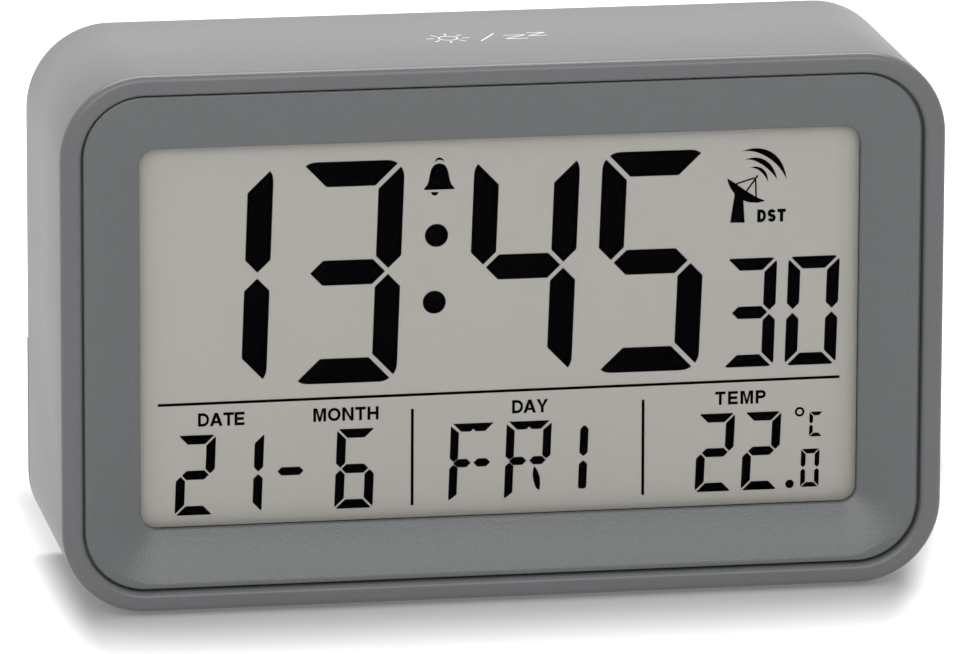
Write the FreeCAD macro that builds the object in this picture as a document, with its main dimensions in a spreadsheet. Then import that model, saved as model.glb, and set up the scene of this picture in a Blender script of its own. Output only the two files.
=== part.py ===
"""Dementia day clock: a battery desk clock with a large LCD, built as an assembly of moulded,
glass, metal and electronic pieces.

Millimetres. X runs to the viewer's right, the display faces -Y and Z is up. The origin is the
centre of the clock's box at the surface it stands on.
"""
import math
import os

import FreeCAD
import Part
import Sketcher
from FreeCAD import Placement, Rotation, Vector

# ---------------------------------------------------------------------------------------------
# Driving dimensions, one spreadsheet cell each
# ---------------------------------------------------------------------------------------------
SIZES = {
    # outer form
    "case_width": 150.0,
    "case_height": 92.0,
    "case_depth": 46.0,         # front crest of the rim to the back of the rear cover
    "corner_radius": 14.3,
    "wall": 2.2,
    "foot_rise": 0.8,           # what the feet lift the housing off the table
    "front_round": 1.4,         # outer edge of the rim
    "rear_bevel": 0.5,
    # rim and front panel
    "rim_width": 3.6,
    "rim_lip": 3.2,             # rim, front to back
    "rim_bevel": 1.2,           # inner edge of the rim, sloping in to the panel
    "panel_gap": 0.4,
    "panel_drop": 0.8,          # panel's outer edge behind the crest
    "panel_edge": 0.3,          # chamfer round the panel
    "panel_dip": 3.4,           # how far the panel slopes back to the window
    "panel_slope": 8.85,        # width of the sloping band
    "panel_flange": 1.6,
    "flange_gap": 0.4,
    # display window
    "window_width": 122.4,
    "window_height": 65.1,
    "window_radius": 2.8,
    "window_recess": 1.2,       # lens behind the window's edge
    # display stack
    "lens_width": 125.4,
    "lens_height": 71.0,
    "lens_drop": 0.45,          # lens centre below the case centre
    "lens_thickness": 1.2,
    "seat_gap": 0.2,            # round the lens and the glass in their seats
    "seat_wall": 1.6,           # wall round the lens seat
    "film_thickness": 0.2,
    "film_inset": 0.5,          # polarisers inside the edge of the glass
    "glass_width": 124.6,
    "glass_top": 81.2,
    "glass_thickness": 1.1,
    "glass_sunk": 1.0,          # how deep the front glass stands in the lens seat
    "ledge_height": 2.6,        # front glass below the rear glass, for the contacts
    "glass_bottom": 11.0,
    "guide_width": 119.2,
    "guide_thickness": 3.0,
    "guide_gap": 0.2,
    "holder_gap": 0.2,          # round the glass in its holder
    "holder_wall": 1.4,
    "holder_back": 0.6,
    "zebra_width": 112.0,
    "zebra_thickness": 1.8,
    "led_width": 2.0,
    "led_height": 4.0,
    "led_offset": 1.6,          # LED's middle beyond the edge of the light guide
    # main board
    "board_thickness": 1.6,
    "board_width": 140.0,
    "board_waist": 120.0,
    "board_height": 74.0,
    "board_ear": 60.0,
    "hook_width": 6.0,          # snap hooks that hold the two boards
    "hook_gap": 0.2,
    "hook_thickness": 1.3,
    "hook_nose": 0.7,
    "hook_z": 22.0,
    # long screw pillars
    "pillar_inset": 8.5,        # pillar axis in from the outside of the case
    "pillar_radius": 3.0,
    "pillar_pilot": 1.3,
    "pilot_depth": 12.0,
    "cover_screw_shank": 1.25,
    "cover_screw_head": 2.5,
    "cover_screw_head_height": 1.3,
    "cover_screw_length": 10.0,
    "cover_screw_floor": 1.0,   # what the cover is thick under a screw's head
    "shank_gap": 0.2,
    "head_gap": 0.3,
    # rear cover
    "cover_plate": 2.0,
    "cover_gap": 0.2,
    "cover_recess": 0.6,        # upper part of the cover in from the housing's rear edge
    "step_proud": 1.0,          # lower part of the cover behind the housing's rear edge
    "step_thickness": 2.2,
    "step_top": 38.2,
    "step_slit": 0.4,
    # battery bay: two AAA cells side by side
    "cell_radius": 5.25,
    "cell_length": 43.7,
    "nub_radius": 1.9,
    "nub_length": 0.8,
    "bay_length": 52.0,
    "bay_bottom": 8.3,
    "bay_height": 22.4,
    "bay_wall": 1.3,
    "cradle_radius": 5.55,
    "cell_axis_y": 15.9,
    "contact_thickness": 0.4,
    # battery door
    "door_recess_width": 58.0,
    "door_recess_bottom": 5.1,
    "door_recess_top": 32.7,
    "door_gap": 0.2,
    "door_thickness": 1.5,
    "tab_x": 17.0,
    "tab_width": 6.0,
    "tab_drop": 1.4,
    "tab_thickness": 0.8,
    "lip_thickness": 0.65,
    "latch_width": 13.6,
    "latch_length": 6.0,
    "latch_hook": 1.5,
    # keys and switches
    "key_pitch": 18.0,
    "key_z": 74.0,
    "key_width": 10.0,
    "key_height": 6.0,
    "key_proud": 0.9,
    "key_gap": 0.2,             # round a key in its hole
    "key_flange": 1.2,          # how far a key's flange reaches behind the cover
    "tact_width": 6.0,
    "tact_rise": 3.4,           # switches above the key board
    "plunger_width": 2.8,
    "plunger_gap": 0.15,
    "plunger_proud": 1.0,
    "switch_x": 36.0,
    "switch_z": 55.0,
    "switch_travel": 3.0,
    "knob_width": 3.4,
    "knob_height": 2.8,
    "knob_gap": 0.2,
    "key_board_front": 10.4,
    "key_board_width": 112.0,
    "key_board_height": 38.0,
    "key_board_z": 64.0,
    "post_x": 50.0,
    "post_z": 15.0,
    "post_width": 4.0,
    # sound and air slots
    "slot_length": 12.0,
    "slot_height": 1.2,
    "slot_pitch": 2.8,
    "slot_x": 46.0,
    "slot_z": 20.0,
    "buzzer_frame": 20.0,
    "buzzer_frame_wall": 1.2,
    "buzzer_frame_depth": 3.0,
    "foot_radius": 4.5,
    "foot_x": 56.0,
    "foot_y": 13.0,
}

# Levels along Y, front to back, each worked out from the one before it
FRONT = "(-Dim.case_depth / 2)"
LIP_BACK = f"({FRONT} + Dim.rim_lip)"
PANEL_FACE = f"({FRONT} + Dim.panel_drop)"
PANEL_FLANGE_BACK = f"({LIP_BACK} + Dim.panel_flange)"
WINDOW_EDGE = f"({PANEL_FACE} + Dim.panel_dip)"
LENS_FRONT = f"({WINDOW_EDGE} + Dim.window_recess)"
LENS_BACK = f"({LENS_FRONT} + Dim.lens_thickness)"
FRONT_GLASS = f"({LENS_BACK} + Dim.film_thickness)"
PANEL_BACK = f"({FRONT_GLASS} + Dim.glass_sunk)"
REAR_GLASS = f"({FRONT_GLASS} + Dim.glass_thickness)"
REAR_FILM = f"({REAR_GLASS} + Dim.glass_thickness)"
GUIDE_FRONT = f"({REAR_FILM} + Dim.film_thickness)"
GUIDE_BACK = f"({GUIDE_FRONT} + Dim.guide_thickness)"
HOLDER_FLOOR = f"({GUIDE_BACK} + Dim.film_thickness)"
BOARD_FRONT = f"({HOLDER_FLOOR} + Dim.holder_back)"
BOARD_BACK = f"({BOARD_FRONT} + Dim.board_thickness)"
BACK = "(Dim.case_depth / 2)"
REAR_EDGE = f"({BACK} - Dim.step_proud)"
STEP_FRONT = f"({BACK} - Dim.step_thickness)"
PLATE_BACK = f"({REAR_EDGE} - Dim.cover_recess)"
PLATE_FRONT = f"({PLATE_BACK} - Dim.cover_plate)"
SCREW_SEAT = f"({PLATE_FRONT} + Dim.cover_screw_floor)"
KEY_BOARD_BACK = "(Dim.key_board_front + Dim.board_thickness)"
SWITCH_TOP = f"({KEY_BOARD_BACK} + Dim.tact_rise)"
FLANGE_FRONT = f"({PLATE_FRONT} - 1.0)"     # flanges of the keys and sliders
FLANGE_BACK = f"({PLATE_FRONT} - 0.1)"
BUZZER_FRONT = f"({PLATE_FRONT} - Dim.buzzer_frame_depth)"
SENSOR_FRONT = f"({PLATE_FRONT} - 1.8)"
BAY_FRONT = "(Dim.cell_axis_y - Dim.cradle_radius)"
TAB_END = f"({BAY_FRONT} - 3)"              # solder tabs of the battery contacts

# Places across and up
BOTTOM = "Dim.foot_rise"
MIDDLE = "(Dim.foot_rise + Dim.case_height / 2)"
LENS_Z = f"({MIDDLE} - Dim.lens_drop)"
SEAT_WIDTH = "(Dim.lens_width + 2 * Dim.seat_gap)"
SEAT_HEIGHT = "(Dim.lens_height + 2 * Dim.seat_gap)"
PILLAR_X = "(Dim.case_width / 2 - Dim.pillar_inset)"
PILLAR_Z = "(Dim.case_height / 2 - Dim.pillar_inset)"
BAY_Z = "(Dim.bay_bottom + Dim.bay_height / 2)"
CELL_OFFSET = "(Dim.bay_height / 4)"
BAY_END = "(Dim.bay_length / 2)"
DOOR_Z = "((Dim.door_recess_bottom + Dim.door_recess_top) / 2)"
DOOR_BOTTOM = "(Dim.door_recess_bottom + Dim.door_gap)"
DOOR_TOP = "(Dim.door_recess_top - Dim.door_gap)"
LIP_FRONT = f"({BACK} - Dim.lip_thickness)"
DOOR_FRONT = f"({BACK} - Dim.door_thickness)"
KEY_NAMES = ("set_key", "up_key", "down_key", "alarm_key", "signal_key")

# ---------------------------------------------------------------------------------------------
# Document, sheet and the tools that every piece uses
# ---------------------------------------------------------------------------------------------
doc = FreeCAD.newDocument("DayClock")
sheet = doc.addObject("Spreadsheet::Sheet", "Dim")
for row, (alias, size) in enumerate(SIZES.items(), start=1):
    sheet.set(f"A{row}", alias)
    sheet.set(f"B{row}", str(size))
    sheet.setAlias(f"B{row}", alias)
doc.recompute()

pieces = []


def value(expression):
    """What an expression on the sheet comes to, in millimetres."""
    return float(sheet.evalExpression(str(expression)))


def bind(item, **expressions):
    """Bind properties of an object to expressions, such as Length="Dim.wall"."""
    for name, expression in expressions.items():
        item.setExpression(name.replace("__", "."), str(expression))
    return item


def place(item, x="0", y="0", z="0"):
    """Bind the place of an object to three expressions."""
    return bind(item, Placement__Base__x=x, Placement__Base__y=y, Placement__Base__z=z)


def keep(item, label):
    """List an object as a finished piece; its label names its file."""
    item.Label = label
    pieces.append(item)
    return item


def new_body(label):
    return keep(doc.addObject("PartDesign::Body", label), label)


def new_sketch(body, plane, across="0", up="0", out="0"):
    """A sketch on one of the body's own planes: its origin is moved across and up in that plane
    and out along the plane's normal."""
    sketch = body.newObject("Sketcher::SketchObject", "sketch")
    support = [item for item in body.Origin.OriginFeatures if item.Role == plane]
    sketch.AttachmentSupport = [(support[0], "")]
    sketch.MapMode = "FlatFace"
    bind(sketch, AttachmentOffset__Base__x=across, AttachmentOffset__Base__y=up,
         AttachmentOffset__Base__z=out)
    return sketch


def dimension(sketch, kind, expression, *geometry):
    """Add a dimension to a sketch and bind it to an expression."""
    index = sketch.addConstraint(Sketcher.Constraint(kind, *geometry, value(expression)))
    sketch.setExpression(f"Constraints[{index}]", str(expression))


def relate(sketch, kind, *geometry):
    sketch.addConstraint(Sketcher.Constraint(kind, *geometry))


def locate(sketch, geometry, point, x, y):
    """Put one point of a sketch at (x, y) from the sketch's origin."""
    dimension(sketch, "DistanceX", x, -1, 1, geometry, point)
    dimension(sketch, "DistanceY", y, -1, 1, geometry, point)


def add_circle(sketch, radius, x="0", y="0"):
    centre = Vector(value(x), value(y), 0)
    circle = sketch.addGeometry(Part.Circle(centre, Vector(0, 0, 1), value(radius)))
    dimension(sketch, "Radius", radius, circle)
    locate(sketch, circle, 3, x, y)


def add_rectangle(sketch, width, height, x="0", y="0"):
    """A rectangle centred on (x, y)."""
    half_w, half_h = value(width) / 2, value(height) / 2
    mid_x, mid_y = value(x), value(y)
    corners = [Vector(mid_x + sx * half_w, mid_y + sy * half_h, 0)
               for sx, sy in ((-1, -1), (1, -1), (1, 1), (-1, 1))]
    sides = [sketch.addGeometry(Part.LineSegment(corners[i], corners[(i + 1) % 4]))
             for i in range(4)]
    for i in range(4):
        relate(sketch, "Coincident", sides[i], 2, sides[(i + 1) % 4], 1)
        relate(sketch, "Horizontal" if i % 2 == 0 else "Vertical", sides[i])
    dimension(sketch, "DistanceX", width, sides[0], 1, sides[0], 2)
    dimension(sketch, "DistanceY", height, sides[1], 1, sides[1], 2)
    locate(sketch, sides[0], 1, f"{x} - ({width}) / 2", f"{y} - ({height}) / 2")


def add_rounded(sketch, width, height, radius):
    """A rectangle with round corners, centred on the sketch's origin."""
    half_w, half_h, r = value(width) / 2, value(height) / 2, value(radius)
    in_w, in_h = half_w - r, half_h - r
    ends = [(Vector(-in_w, -half_h, 0), Vector(in_w, -half_h, 0)),
            (Vector(half_w, -in_h, 0), Vector(half_w, in_h, 0)),
            (Vector(in_w, half_h, 0), Vector(-in_w, half_h, 0)),
            (Vector(-half_w, in_h, 0), Vector(-half_w, -in_h, 0))]
    centres = [Vector(in_w, -in_h, 0), Vector(in_w, in_h, 0),
               Vector(-in_w, in_h, 0), Vector(-in_w, -in_h, 0)]
    sides = [sketch.addGeometry(Part.LineSegment(*pair)) for pair in ends]
    arcs = []
    for i, centre in enumerate(centres):
        circle = Part.Circle(centre, Vector(0, 0, 1), r)
        start = (i - 1) * math.pi / 2
        arcs.append(sketch.addGeometry(Part.ArcOfCircle(circle, start, start + math.pi / 2)))
    for i in range(4):
        relate(sketch, "Tangent", sides[i], 2, arcs[i], 1)
        relate(sketch, "Tangent", arcs[i], 2, sides[(i + 1) % 4], 1)
        relate(sketch, "Horizontal" if i % 2 == 0 else "Vertical", sides[i])
    for arc in arcs[1:]:
        relate(sketch, "Equal", arcs[0], arc)
    dimension(sketch, "Radius", radius, arcs[0])
    dimension(sketch, "DistanceX", width, sides[3], 1, sides[1], 1)
    dimension(sketch, "DistanceY", height, sides[0], 1, sides[2], 1)
    relate(sketch, "Symmetric", arcs[0], 3, arcs[2], 3, -1, 1)


def add_outline(sketch, points):
    """A closed outline of straight lines through points given as pairs of expressions."""
    corners = [Vector(value(x), value(y), 0) for x, y in points]
    count = len(corners)
    lines = [sketch.addGeometry(Part.LineSegment(corners[i], corners[(i + 1) % count]))
             for i in range(count)]
    for i, (x, y) in enumerate(points):
        relate(sketch, "Coincident", lines[i - 1], 2, lines[i], 1)
        locate(sketch, lines[i], 1, x, y)


def add_lower_outline(sketch, width, height, radius):
    """A rectangle whose two lower corners are round: the sketch's origin is the middle of its
    bottom edge."""
    half_w, top, r = value(width) / 2, value(height), value(radius)
    in_w = half_w - r
    bottom = sketch.addGeometry(Part.LineSegment(Vector(-in_w, 0, 0), Vector(in_w, 0, 0)))
    right = sketch.addGeometry(Part.LineSegment(Vector(half_w, r, 0), Vector(half_w, top, 0)))
    upper = sketch.addGeometry(Part.LineSegment(Vector(half_w, top, 0), Vector(-half_w, top, 0)))
    left = sketch.addGeometry(Part.LineSegment(Vector(-half_w, top, 0), Vector(-half_w, r, 0)))
    right_arc = sketch.addGeometry(Part.ArcOfCircle(
        Part.Circle(Vector(in_w, r, 0), Vector(0, 0, 1), r), -math.pi / 2, 0))
    left_arc = sketch.addGeometry(Part.ArcOfCircle(
        Part.Circle(Vector(-in_w, r, 0), Vector(0, 0, 1), r), math.pi, 1.5 * math.pi))
    relate(sketch, "Tangent", bottom, 2, right_arc, 1)
    relate(sketch, "Tangent", right_arc, 2, right, 1)
    relate(sketch, "Tangent", left, 2, left_arc, 1)
    relate(sketch, "Tangent", left_arc, 2, bottom, 1)
    relate(sketch, "Coincident", right, 2, upper, 1)
    relate(sketch, "Coincident", upper, 2, left, 1)
    relate(sketch, "Horizontal", bottom)
    relate(sketch, "Vertical", right)
    relate(sketch, "Vertical", left)
    relate(sketch, "Equal", right_arc, left_arc)
    dimension(sketch, "Radius", radius, right_arc)
    dimension(sketch, "DistanceX", width, upper, 2, upper, 1)
    dimension(sketch, "DistanceY", height, -1, 1, upper, 1)
    relate(sketch, "Symmetric", upper, 1, upper, 2, -2)
    relate(sketch, "PointOnObject", bottom, 1, -1)


def finish_feature(body, feature, grows):
    """Recompute a feature and make sure that it added or took away material."""
    before = body.Shape.Volume if body.Shape and not body.Shape.isNull() else 0.0
    doc.recompute()
    after = body.Shape.Volume
    changed = after - before if grows else before - after
    if changed < 1e-3:
        raise RuntimeError(f"{body.Label}: {feature.Label} changes nothing")
    return feature


def pad(body, sketch, length, reverse=False, both_ways=False):
    feature = body.newObject("PartDesign::Pad", "pad")
    feature.Profile = sketch
    feature.Reversed = reverse
    feature.Midplane = both_ways
    bind(feature, Length=length)
    return finish_feature(body, feature, True)


def pocket(body, sketch, length, reverse=False, both_ways=False):
    feature = body.newObject("PartDesign::Pocket", "pocket")
    feature.Profile = sketch
    feature.Reversed = reverse
    feature.Midplane = both_ways
    bind(feature, Length=length)
    return finish_feature(body, feature, False)


def pad_y(body, draw, front, back, x="0", z="0"):
    """Pad an outline, drawn facing the viewer round (x, z), from one Y level to the next."""
    sketch = new_sketch(body, "XZ_Plane", x, z, f"-{back}")
    draw(sketch)
    return pad(body, sketch, f"{back} - {front}")


def pocket_y(body, draw, front, back, x="0", z="0"):
    """Cut an outline, drawn facing the viewer round (x, z), from one Y level to the next."""
    sketch = new_sketch(body, "XZ_Plane", x, z, f"-{front}")
    draw(sketch)
    return pocket(body, sketch, f"{back} - {front}")


def edges_where(body, test):
    """Names of the edges of the body's tip that pass a test on their bounding box."""
    return [f"Edge{i}" for i, edge in enumerate(body.Tip.Shape.Edges, start=1)
            if test(edge.BoundBox)]


def on_level(y, reach_x="Dim.case_width", reach_z="Dim.case_height", z=MIDDLE):
    """A test for edges that lie in the plane at y, within reach of the axis at height z."""
    level, half_x, half_z, mid = value(y), value(reach_x) / 2, value(reach_z) / 2, value(z)
    slack = 0.01
    return lambda box: (abs(box.YMin - level) < slack and abs(box.YMax - level) < slack
                        and max(abs(box.XMin), abs(box.XMax)) < half_x + slack
                        and max(abs(box.ZMin - mid), abs(box.ZMax - mid)) < half_z + slack)


def dress(body, kind, size, test, depth=None):
    """Fillet or chamfer the edges that pass a test; a depth makes the chamfer unequal."""
    base, names = body.Tip, edges_where(body, test)
    if not names:
        raise RuntimeError(f"{body.Label}: no edge to {kind}")
    feature = body.newObject(f"PartDesign::{kind}", kind.lower())
    feature.Base = (base, names)
    bind(feature, **{"Radius" if kind == "Fillet" else "Size": size})
    if depth:
        feature.ChamferType = "Two distances"
        bind(feature, Size2=depth)
    doc.recompute()
    if "Invalid" in feature.State:
        raise RuntimeError(f"{body.Label}: {kind} fails: {feature.getStatusString()}")
    return feature


def box(name, x, y, z, width, depth, height):
    """A Part box with its lowest corner at (x, y, z)."""
    item = doc.addObject("Part::Box", name)
    bind(item, Length=width, Width=depth, Height=height)
    return place(item, x, y, z)


def centred_box(name, front, back, width, bottom, top, x="0"):
    """A Part box centred on x, between two Y levels and two heights."""
    return box(name, f"{x} - ({width}) / 2", front, bottom,
               width, f"{back} - {front}", f"{top} - ({bottom})")


TURNS = {"x": Rotation(Vector(0, 1, 0), 90), "y": Rotation(Vector(1, 0, 0), -90),
         "z": Rotation()}


def cylinder(name, axis, radius, length, x="0", y="0", z="0"):
    """A Part cylinder that starts at (x, y, z) and runs along +X, +Y or +Z."""
    item = doc.addObject("Part::Cylinder", name)
    item.Placement = Placement(Vector(), TURNS[axis])
    bind(item, Radius=radius, Height=length)
    return place(item, x, y, z)


def fuse(name, *items):
    item = doc.addObject("Part::MultiFuse", name)
    item.Shapes = list(items)
    return item


def cut(name, base, tool):
    item = doc.addObject("Part::Cut", name)
    item.Base = base
    item.Tool = tool
    return item


def group(name, items):
    """Separate solids that share one piece's name, such as a set of like screws."""
    item = doc.addObject("Part::Compound", name)
    item.Links = items
    return keep(item, name)


# The four corners of a pattern that is symmetrical about the middle of the clock
CORNERS = ((-1, -1), (1, -1), (1, 1), (-1, 1))


def four_circles(sketch, radius, x, y):
    for sx, sy in CORNERS:
        add_circle(sketch, radius, f"{sx} * {x}", f"{sy} * {y}")


# ---------------------------------------------------------------------------------------------
# Housing: a moulded sleeve with a rounded rim round its front
# ---------------------------------------------------------------------------------------------
def make_housing():
    body = new_body("housing")
    pad_y(body, lambda s: add_rounded(s, "Dim.case_width", "Dim.case_height",
                                      "Dim.corner_radius"), FRONT, REAR_EDGE, z=MIDDLE)
    dress(body, "Fillet", "Dim.front_round", on_level(FRONT))
    dress(body, "Chamfer", "Dim.rear_bevel", on_level(REAR_EDGE))
    pocket_y(body, lambda s: add_rounded(
        s, "Dim.case_width - 2 * Dim.wall", "Dim.case_height - 2 * Dim.wall",
        "Dim.corner_radius - Dim.wall"), LIP_BACK, REAR_EDGE, z=MIDDLE)
    opening_width = "(Dim.case_width - 2 * Dim.rim_width)"
    opening_height = "(Dim.case_height - 2 * Dim.rim_width)"
    pocket_y(body, lambda s: add_rounded(s, opening_width, opening_height,
                                         "Dim.corner_radius - Dim.rim_width"),
             FRONT, LIP_BACK, z=MIDDLE)
    dress(body, "Chamfer", "Dim.rim_bevel",
          on_level(FRONT, opening_width, opening_height))
    make_cover_stops(body)
    # the rear edge is cut back where the lower part of the rear cover lies over it
    pocket_y(body, lambda s: add_rectangle(
        s, "Dim.case_width + 2", "Dim.step_top + Dim.step_slit + 2",
        "0", "(Dim.step_top + Dim.step_slit + 2) / 2 - 2"), STEP_FRONT, REAR_EDGE)


def make_cover_stops(body):
    """Six short ribs on the inside that the rear cover comes to rest on."""
    rib_width, rib_height, sunk, rib_length, rib_x = 8, 1.2, 0.4, 6, 40
    inner_half = "(Dim.case_height / 2 - Dim.wall)"
    inner_side = "(Dim.case_width / 2 - Dim.wall)"

    def draw(sketch):
        reach = (sunk - rib_height) / 2
        for sx, sz in CORNERS:
            add_rectangle(sketch, str(rib_width), str(rib_height + sunk),
                          f"{sx * rib_x}", f"{sz} * ({inner_half} + {reach})")
        for sx in (-1, 1):
            add_rectangle(sketch, str(rib_height + sunk), str(rib_width),
                          f"{sx} * ({inner_side} + {reach})", "0")
    pad_y(body, draw, f"({PLATE_FRONT} - {rib_length})", PLATE_FRONT, z=MIDDLE)


# ---------------------------------------------------------------------------------------------
# Front panel: a moulded frame that dips to the window, with the lens seat, pillars and hooks
# ---------------------------------------------------------------------------------------------
def make_front_panel():
    body = new_body("front_panel")
    face_width, face_height, face_radius = (
        f"({size} - {times} * (Dim.rim_width + Dim.panel_gap))" for size, times in
        (("Dim.case_width", 2), ("Dim.case_height", 2), ("Dim.corner_radius", 1)))
    flange_inset = "2 * (Dim.wall + Dim.flange_gap)"
    pad_y(body, lambda s: add_rounded(s, face_width, face_height, face_radius),
          PANEL_FACE, LIP_BACK, z=MIDDLE)
    dress(body, "Chamfer", "Dim.panel_edge", on_level(PANEL_FACE))
    pad_y(body, lambda s: add_rounded(
        s, f"Dim.case_width - {flange_inset}", f"Dim.case_height - {flange_inset}",
        "Dim.corner_radius - Dim.wall - Dim.flange_gap"), LIP_BACK, PANEL_FLANGE_BACK, z=MIDDLE)
    pad_y(body, lambda s: add_rectangle(s, f"{SEAT_WIDTH} + 2 * Dim.seat_wall",
                                        f"{SEAT_HEIGHT} + 2 * Dim.seat_wall"),
          PANEL_FLANGE_BACK, PANEL_BACK, z=LENS_Z)
    pocket_y(body, lambda s: add_rounded(s, "Dim.window_width", "Dim.window_height",
                                         "Dim.window_radius"), PANEL_FACE, PANEL_BACK, z=MIDDLE)
    dress(body, "Chamfer", "Dim.panel_slope",
          on_level(PANEL_FACE, "Dim.window_width", "Dim.window_height"), "Dim.panel_dip")
    pocket_y(body, lambda s: add_rectangle(s, SEAT_WIDTH, SEAT_HEIGHT), LENS_FRONT, PANEL_BACK,
             z=LENS_Z)
    pad_y(body, lambda s: four_circles(s, "Dim.pillar_radius", PILLAR_X, PILLAR_Z),
          PANEL_FLANGE_BACK, PLATE_FRONT, z=MIDDLE)
    pocket_y(body, lambda s: four_circles(s, "Dim.pillar_pilot", PILLAR_X, PILLAR_Z),
             f"({PLATE_FRONT} - Dim.pilot_depth)", PLATE_FRONT, z=MIDDLE)
    for side in (-1, 1):
        for step in (-1, 1):
            add_snap_hook(body, side, "(Dim.board_width / 2 + Dim.hook_gap)",
                          PANEL_FLANGE_BACK, BOARD_BACK, f"({MIDDLE} + {step} * Dim.hook_z)")


def add_snap_hook(body, side, reach, root, catch, z):
    """A springy arm at the side of a board, from its root level past the board, with a nose that
    catches behind it. The root may lie in front of the catch or behind it."""
    play, nose_length = 0.05, 1.6
    way = 1 if value(catch) > value(root) else -1
    over = f"({catch} + {way * play})"
    tip = f"({catch} + {way * nose_length})"
    sketch = new_sketch(body, "XY_Plane", out=z)
    arm_out = f"{side} * ({reach} + Dim.hook_thickness)"
    arm_in = f"{side} * {reach}"
    nose = f"{side} * ({reach} - Dim.hook_nose)"
    add_outline(sketch, [(arm_out, root), (arm_out, tip), (arm_in, tip), (nose, over),
                         (arm_in, over), (arm_in, root)])
    pad(body, sketch, "Dim.hook_width", both_ways=True)


# ---------------------------------------------------------------------------------------------
# Display stack, from the lens back to the board
# ---------------------------------------------------------------------------------------------
def make_display():
    keep(centred_box("display_lens", LENS_FRONT, LENS_BACK, "Dim.lens_width",
                     f"{LENS_Z} - Dim.lens_height / 2", f"{LENS_Z} + Dim.lens_height / 2"),
         "display_lens")
    rear_bottom = "(Dim.glass_bottom + Dim.ledge_height)"
    film_width, film_top = "Dim.glass_width - 2 * Dim.film_inset", "Dim.glass_top - Dim.film_inset"
    guide_room = ("Dim.guide_width", f"{rear_bottom} + Dim.guide_gap",
                  "Dim.glass_top - Dim.guide_gap")
    layers = (
        ("lcd_front_polariser", LENS_BACK, FRONT_GLASS, film_width, rear_bottom, film_top),
        ("lcd_front_glass", FRONT_GLASS, REAR_GLASS, "Dim.glass_width", "Dim.glass_bottom",
         "Dim.glass_top"),
        ("lcd_rear_glass", REAR_GLASS, REAR_FILM, "Dim.glass_width", rear_bottom,
         "Dim.glass_top"),
        ("lcd_rear_polariser", REAR_FILM, GUIDE_FRONT, film_width, rear_bottom, film_top),
        ("light_guide", GUIDE_FRONT, GUIDE_BACK, *guide_room),
        ("reflector_sheet", GUIDE_BACK, HOLDER_FLOOR, *guide_room),
    )
    for label, front, back, width, bottom, top in layers:
        keep(centred_box(label, front, back, width, bottom, top), label)

    zebra_z = "(Dim.glass_bottom + Dim.ledge_height / 2)"
    keep(centred_box("zebra_strip", REAR_GLASS, BOARD_FRONT, "Dim.zebra_width",
                     f"{zebra_z} - Dim.zebra_thickness / 2",
                     f"{zebra_z} + Dim.zebra_thickness / 2"), "zebra_strip")
    led_x = "(Dim.guide_width / 2 + Dim.led_offset)"
    leds = [centred_box("led", f"({GUIDE_FRONT} + 0.5)", BOARD_FRONT, "Dim.led_width",
                        f"{MIDDLE} - Dim.led_height / 2", f"{MIDDLE} + Dim.led_height / 2",
                        f"{side} * {led_x}") for side in (-1, 1)]
    group("backlight_leds", leds)

    holder = new_body("lcd_holder")
    inner_width = "(Dim.glass_width + 2 * Dim.holder_gap)"
    inner_height = "(Dim.glass_top - Dim.glass_bottom + 2 * Dim.holder_gap)"
    glass_z = "((Dim.glass_top + Dim.glass_bottom) / 2)"
    pad_y(holder, lambda s: add_rectangle(
        s, f"{inner_width} + 2 * Dim.holder_wall", f"{inner_height} + 2 * Dim.holder_wall"),
        PANEL_BACK, BOARD_FRONT, z=glass_z)
    corner = "2"        # clear of the screw pillars
    dress(holder, "Chamfer", corner, lambda box: box.XLength < 0.01 and box.ZLength < 0.01)
    pocket_y(holder, lambda s: add_rectangle(s, inner_width, inner_height), PANEL_BACK,
             HOLDER_FLOOR, z=glass_z)

    def draw_windows(sketch):
        """Slots in the holder's floor for the rubber strip and the two LEDs."""
        room = 0.6
        add_rectangle(sketch, f"Dim.zebra_width + {room}", "Dim.zebra_thickness + 0.4",
                      "0", zebra_z)
        for side in (-1, 1):
            add_rectangle(sketch, f"Dim.led_width + {room}", f"Dim.led_height + {room}",
                          f"{side} * {led_x}", MIDDLE)
    pocket_y(holder, draw_windows, HOLDER_FLOOR, BOARD_FRONT)


# ---------------------------------------------------------------------------------------------
# Main board and what is soldered to it
# ---------------------------------------------------------------------------------------------
def make_main_board():
    body = new_body("main_board")
    pad_y(body, lambda s: add_rectangle(s, "Dim.board_waist", "Dim.board_height"),
          BOARD_FRONT, BOARD_BACK, z=MIDDLE)
    pad_y(body, lambda s: add_rectangle(s, "Dim.board_width", "Dim.board_ear"),
          BOARD_FRONT, BOARD_BACK, z=MIDDLE)

    chip_x, chip_z, chip_size, chip_height = 34, 40, 12, 1.5
    keep(centred_box("controller_chip", BOARD_BACK, f"({BOARD_BACK} + {chip_height})",
                     str(chip_size), str(chip_z - chip_size / 2), str(chip_z + chip_size / 2),
                     str(chip_x)), "controller_chip")
    crystal_x, crystal_z, crystal_radius, crystal_length, lift = 18, 30, 1.0, 6.0, 0.05
    keep(cylinder("quartz_crystal", "x", str(crystal_radius), str(crystal_length),
                  str(crystal_x), f"{BOARD_BACK} + {crystal_radius + lift}", str(crystal_z)),
         "quartz_crystal")
    radio_x, radio_z, radio_width, radio_height, radio_chip = -44, 46, 18, 12, 5
    radio_back = f"({BOARD_BACK} + 1)"
    keep(fuse("radio_module", centred_box(
        "radio_board", BOARD_BACK, radio_back, str(radio_width), str(radio_z - radio_height / 2),
        str(radio_z + radio_height / 2), str(radio_x)), centred_box(
        "radio_chip", radio_back, f"({radio_back} + {chip_height})", str(radio_chip),
        str(radio_z - radio_chip / 2), str(radio_z + radio_chip / 2), str(radio_x))),
        "radio_module")


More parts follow.
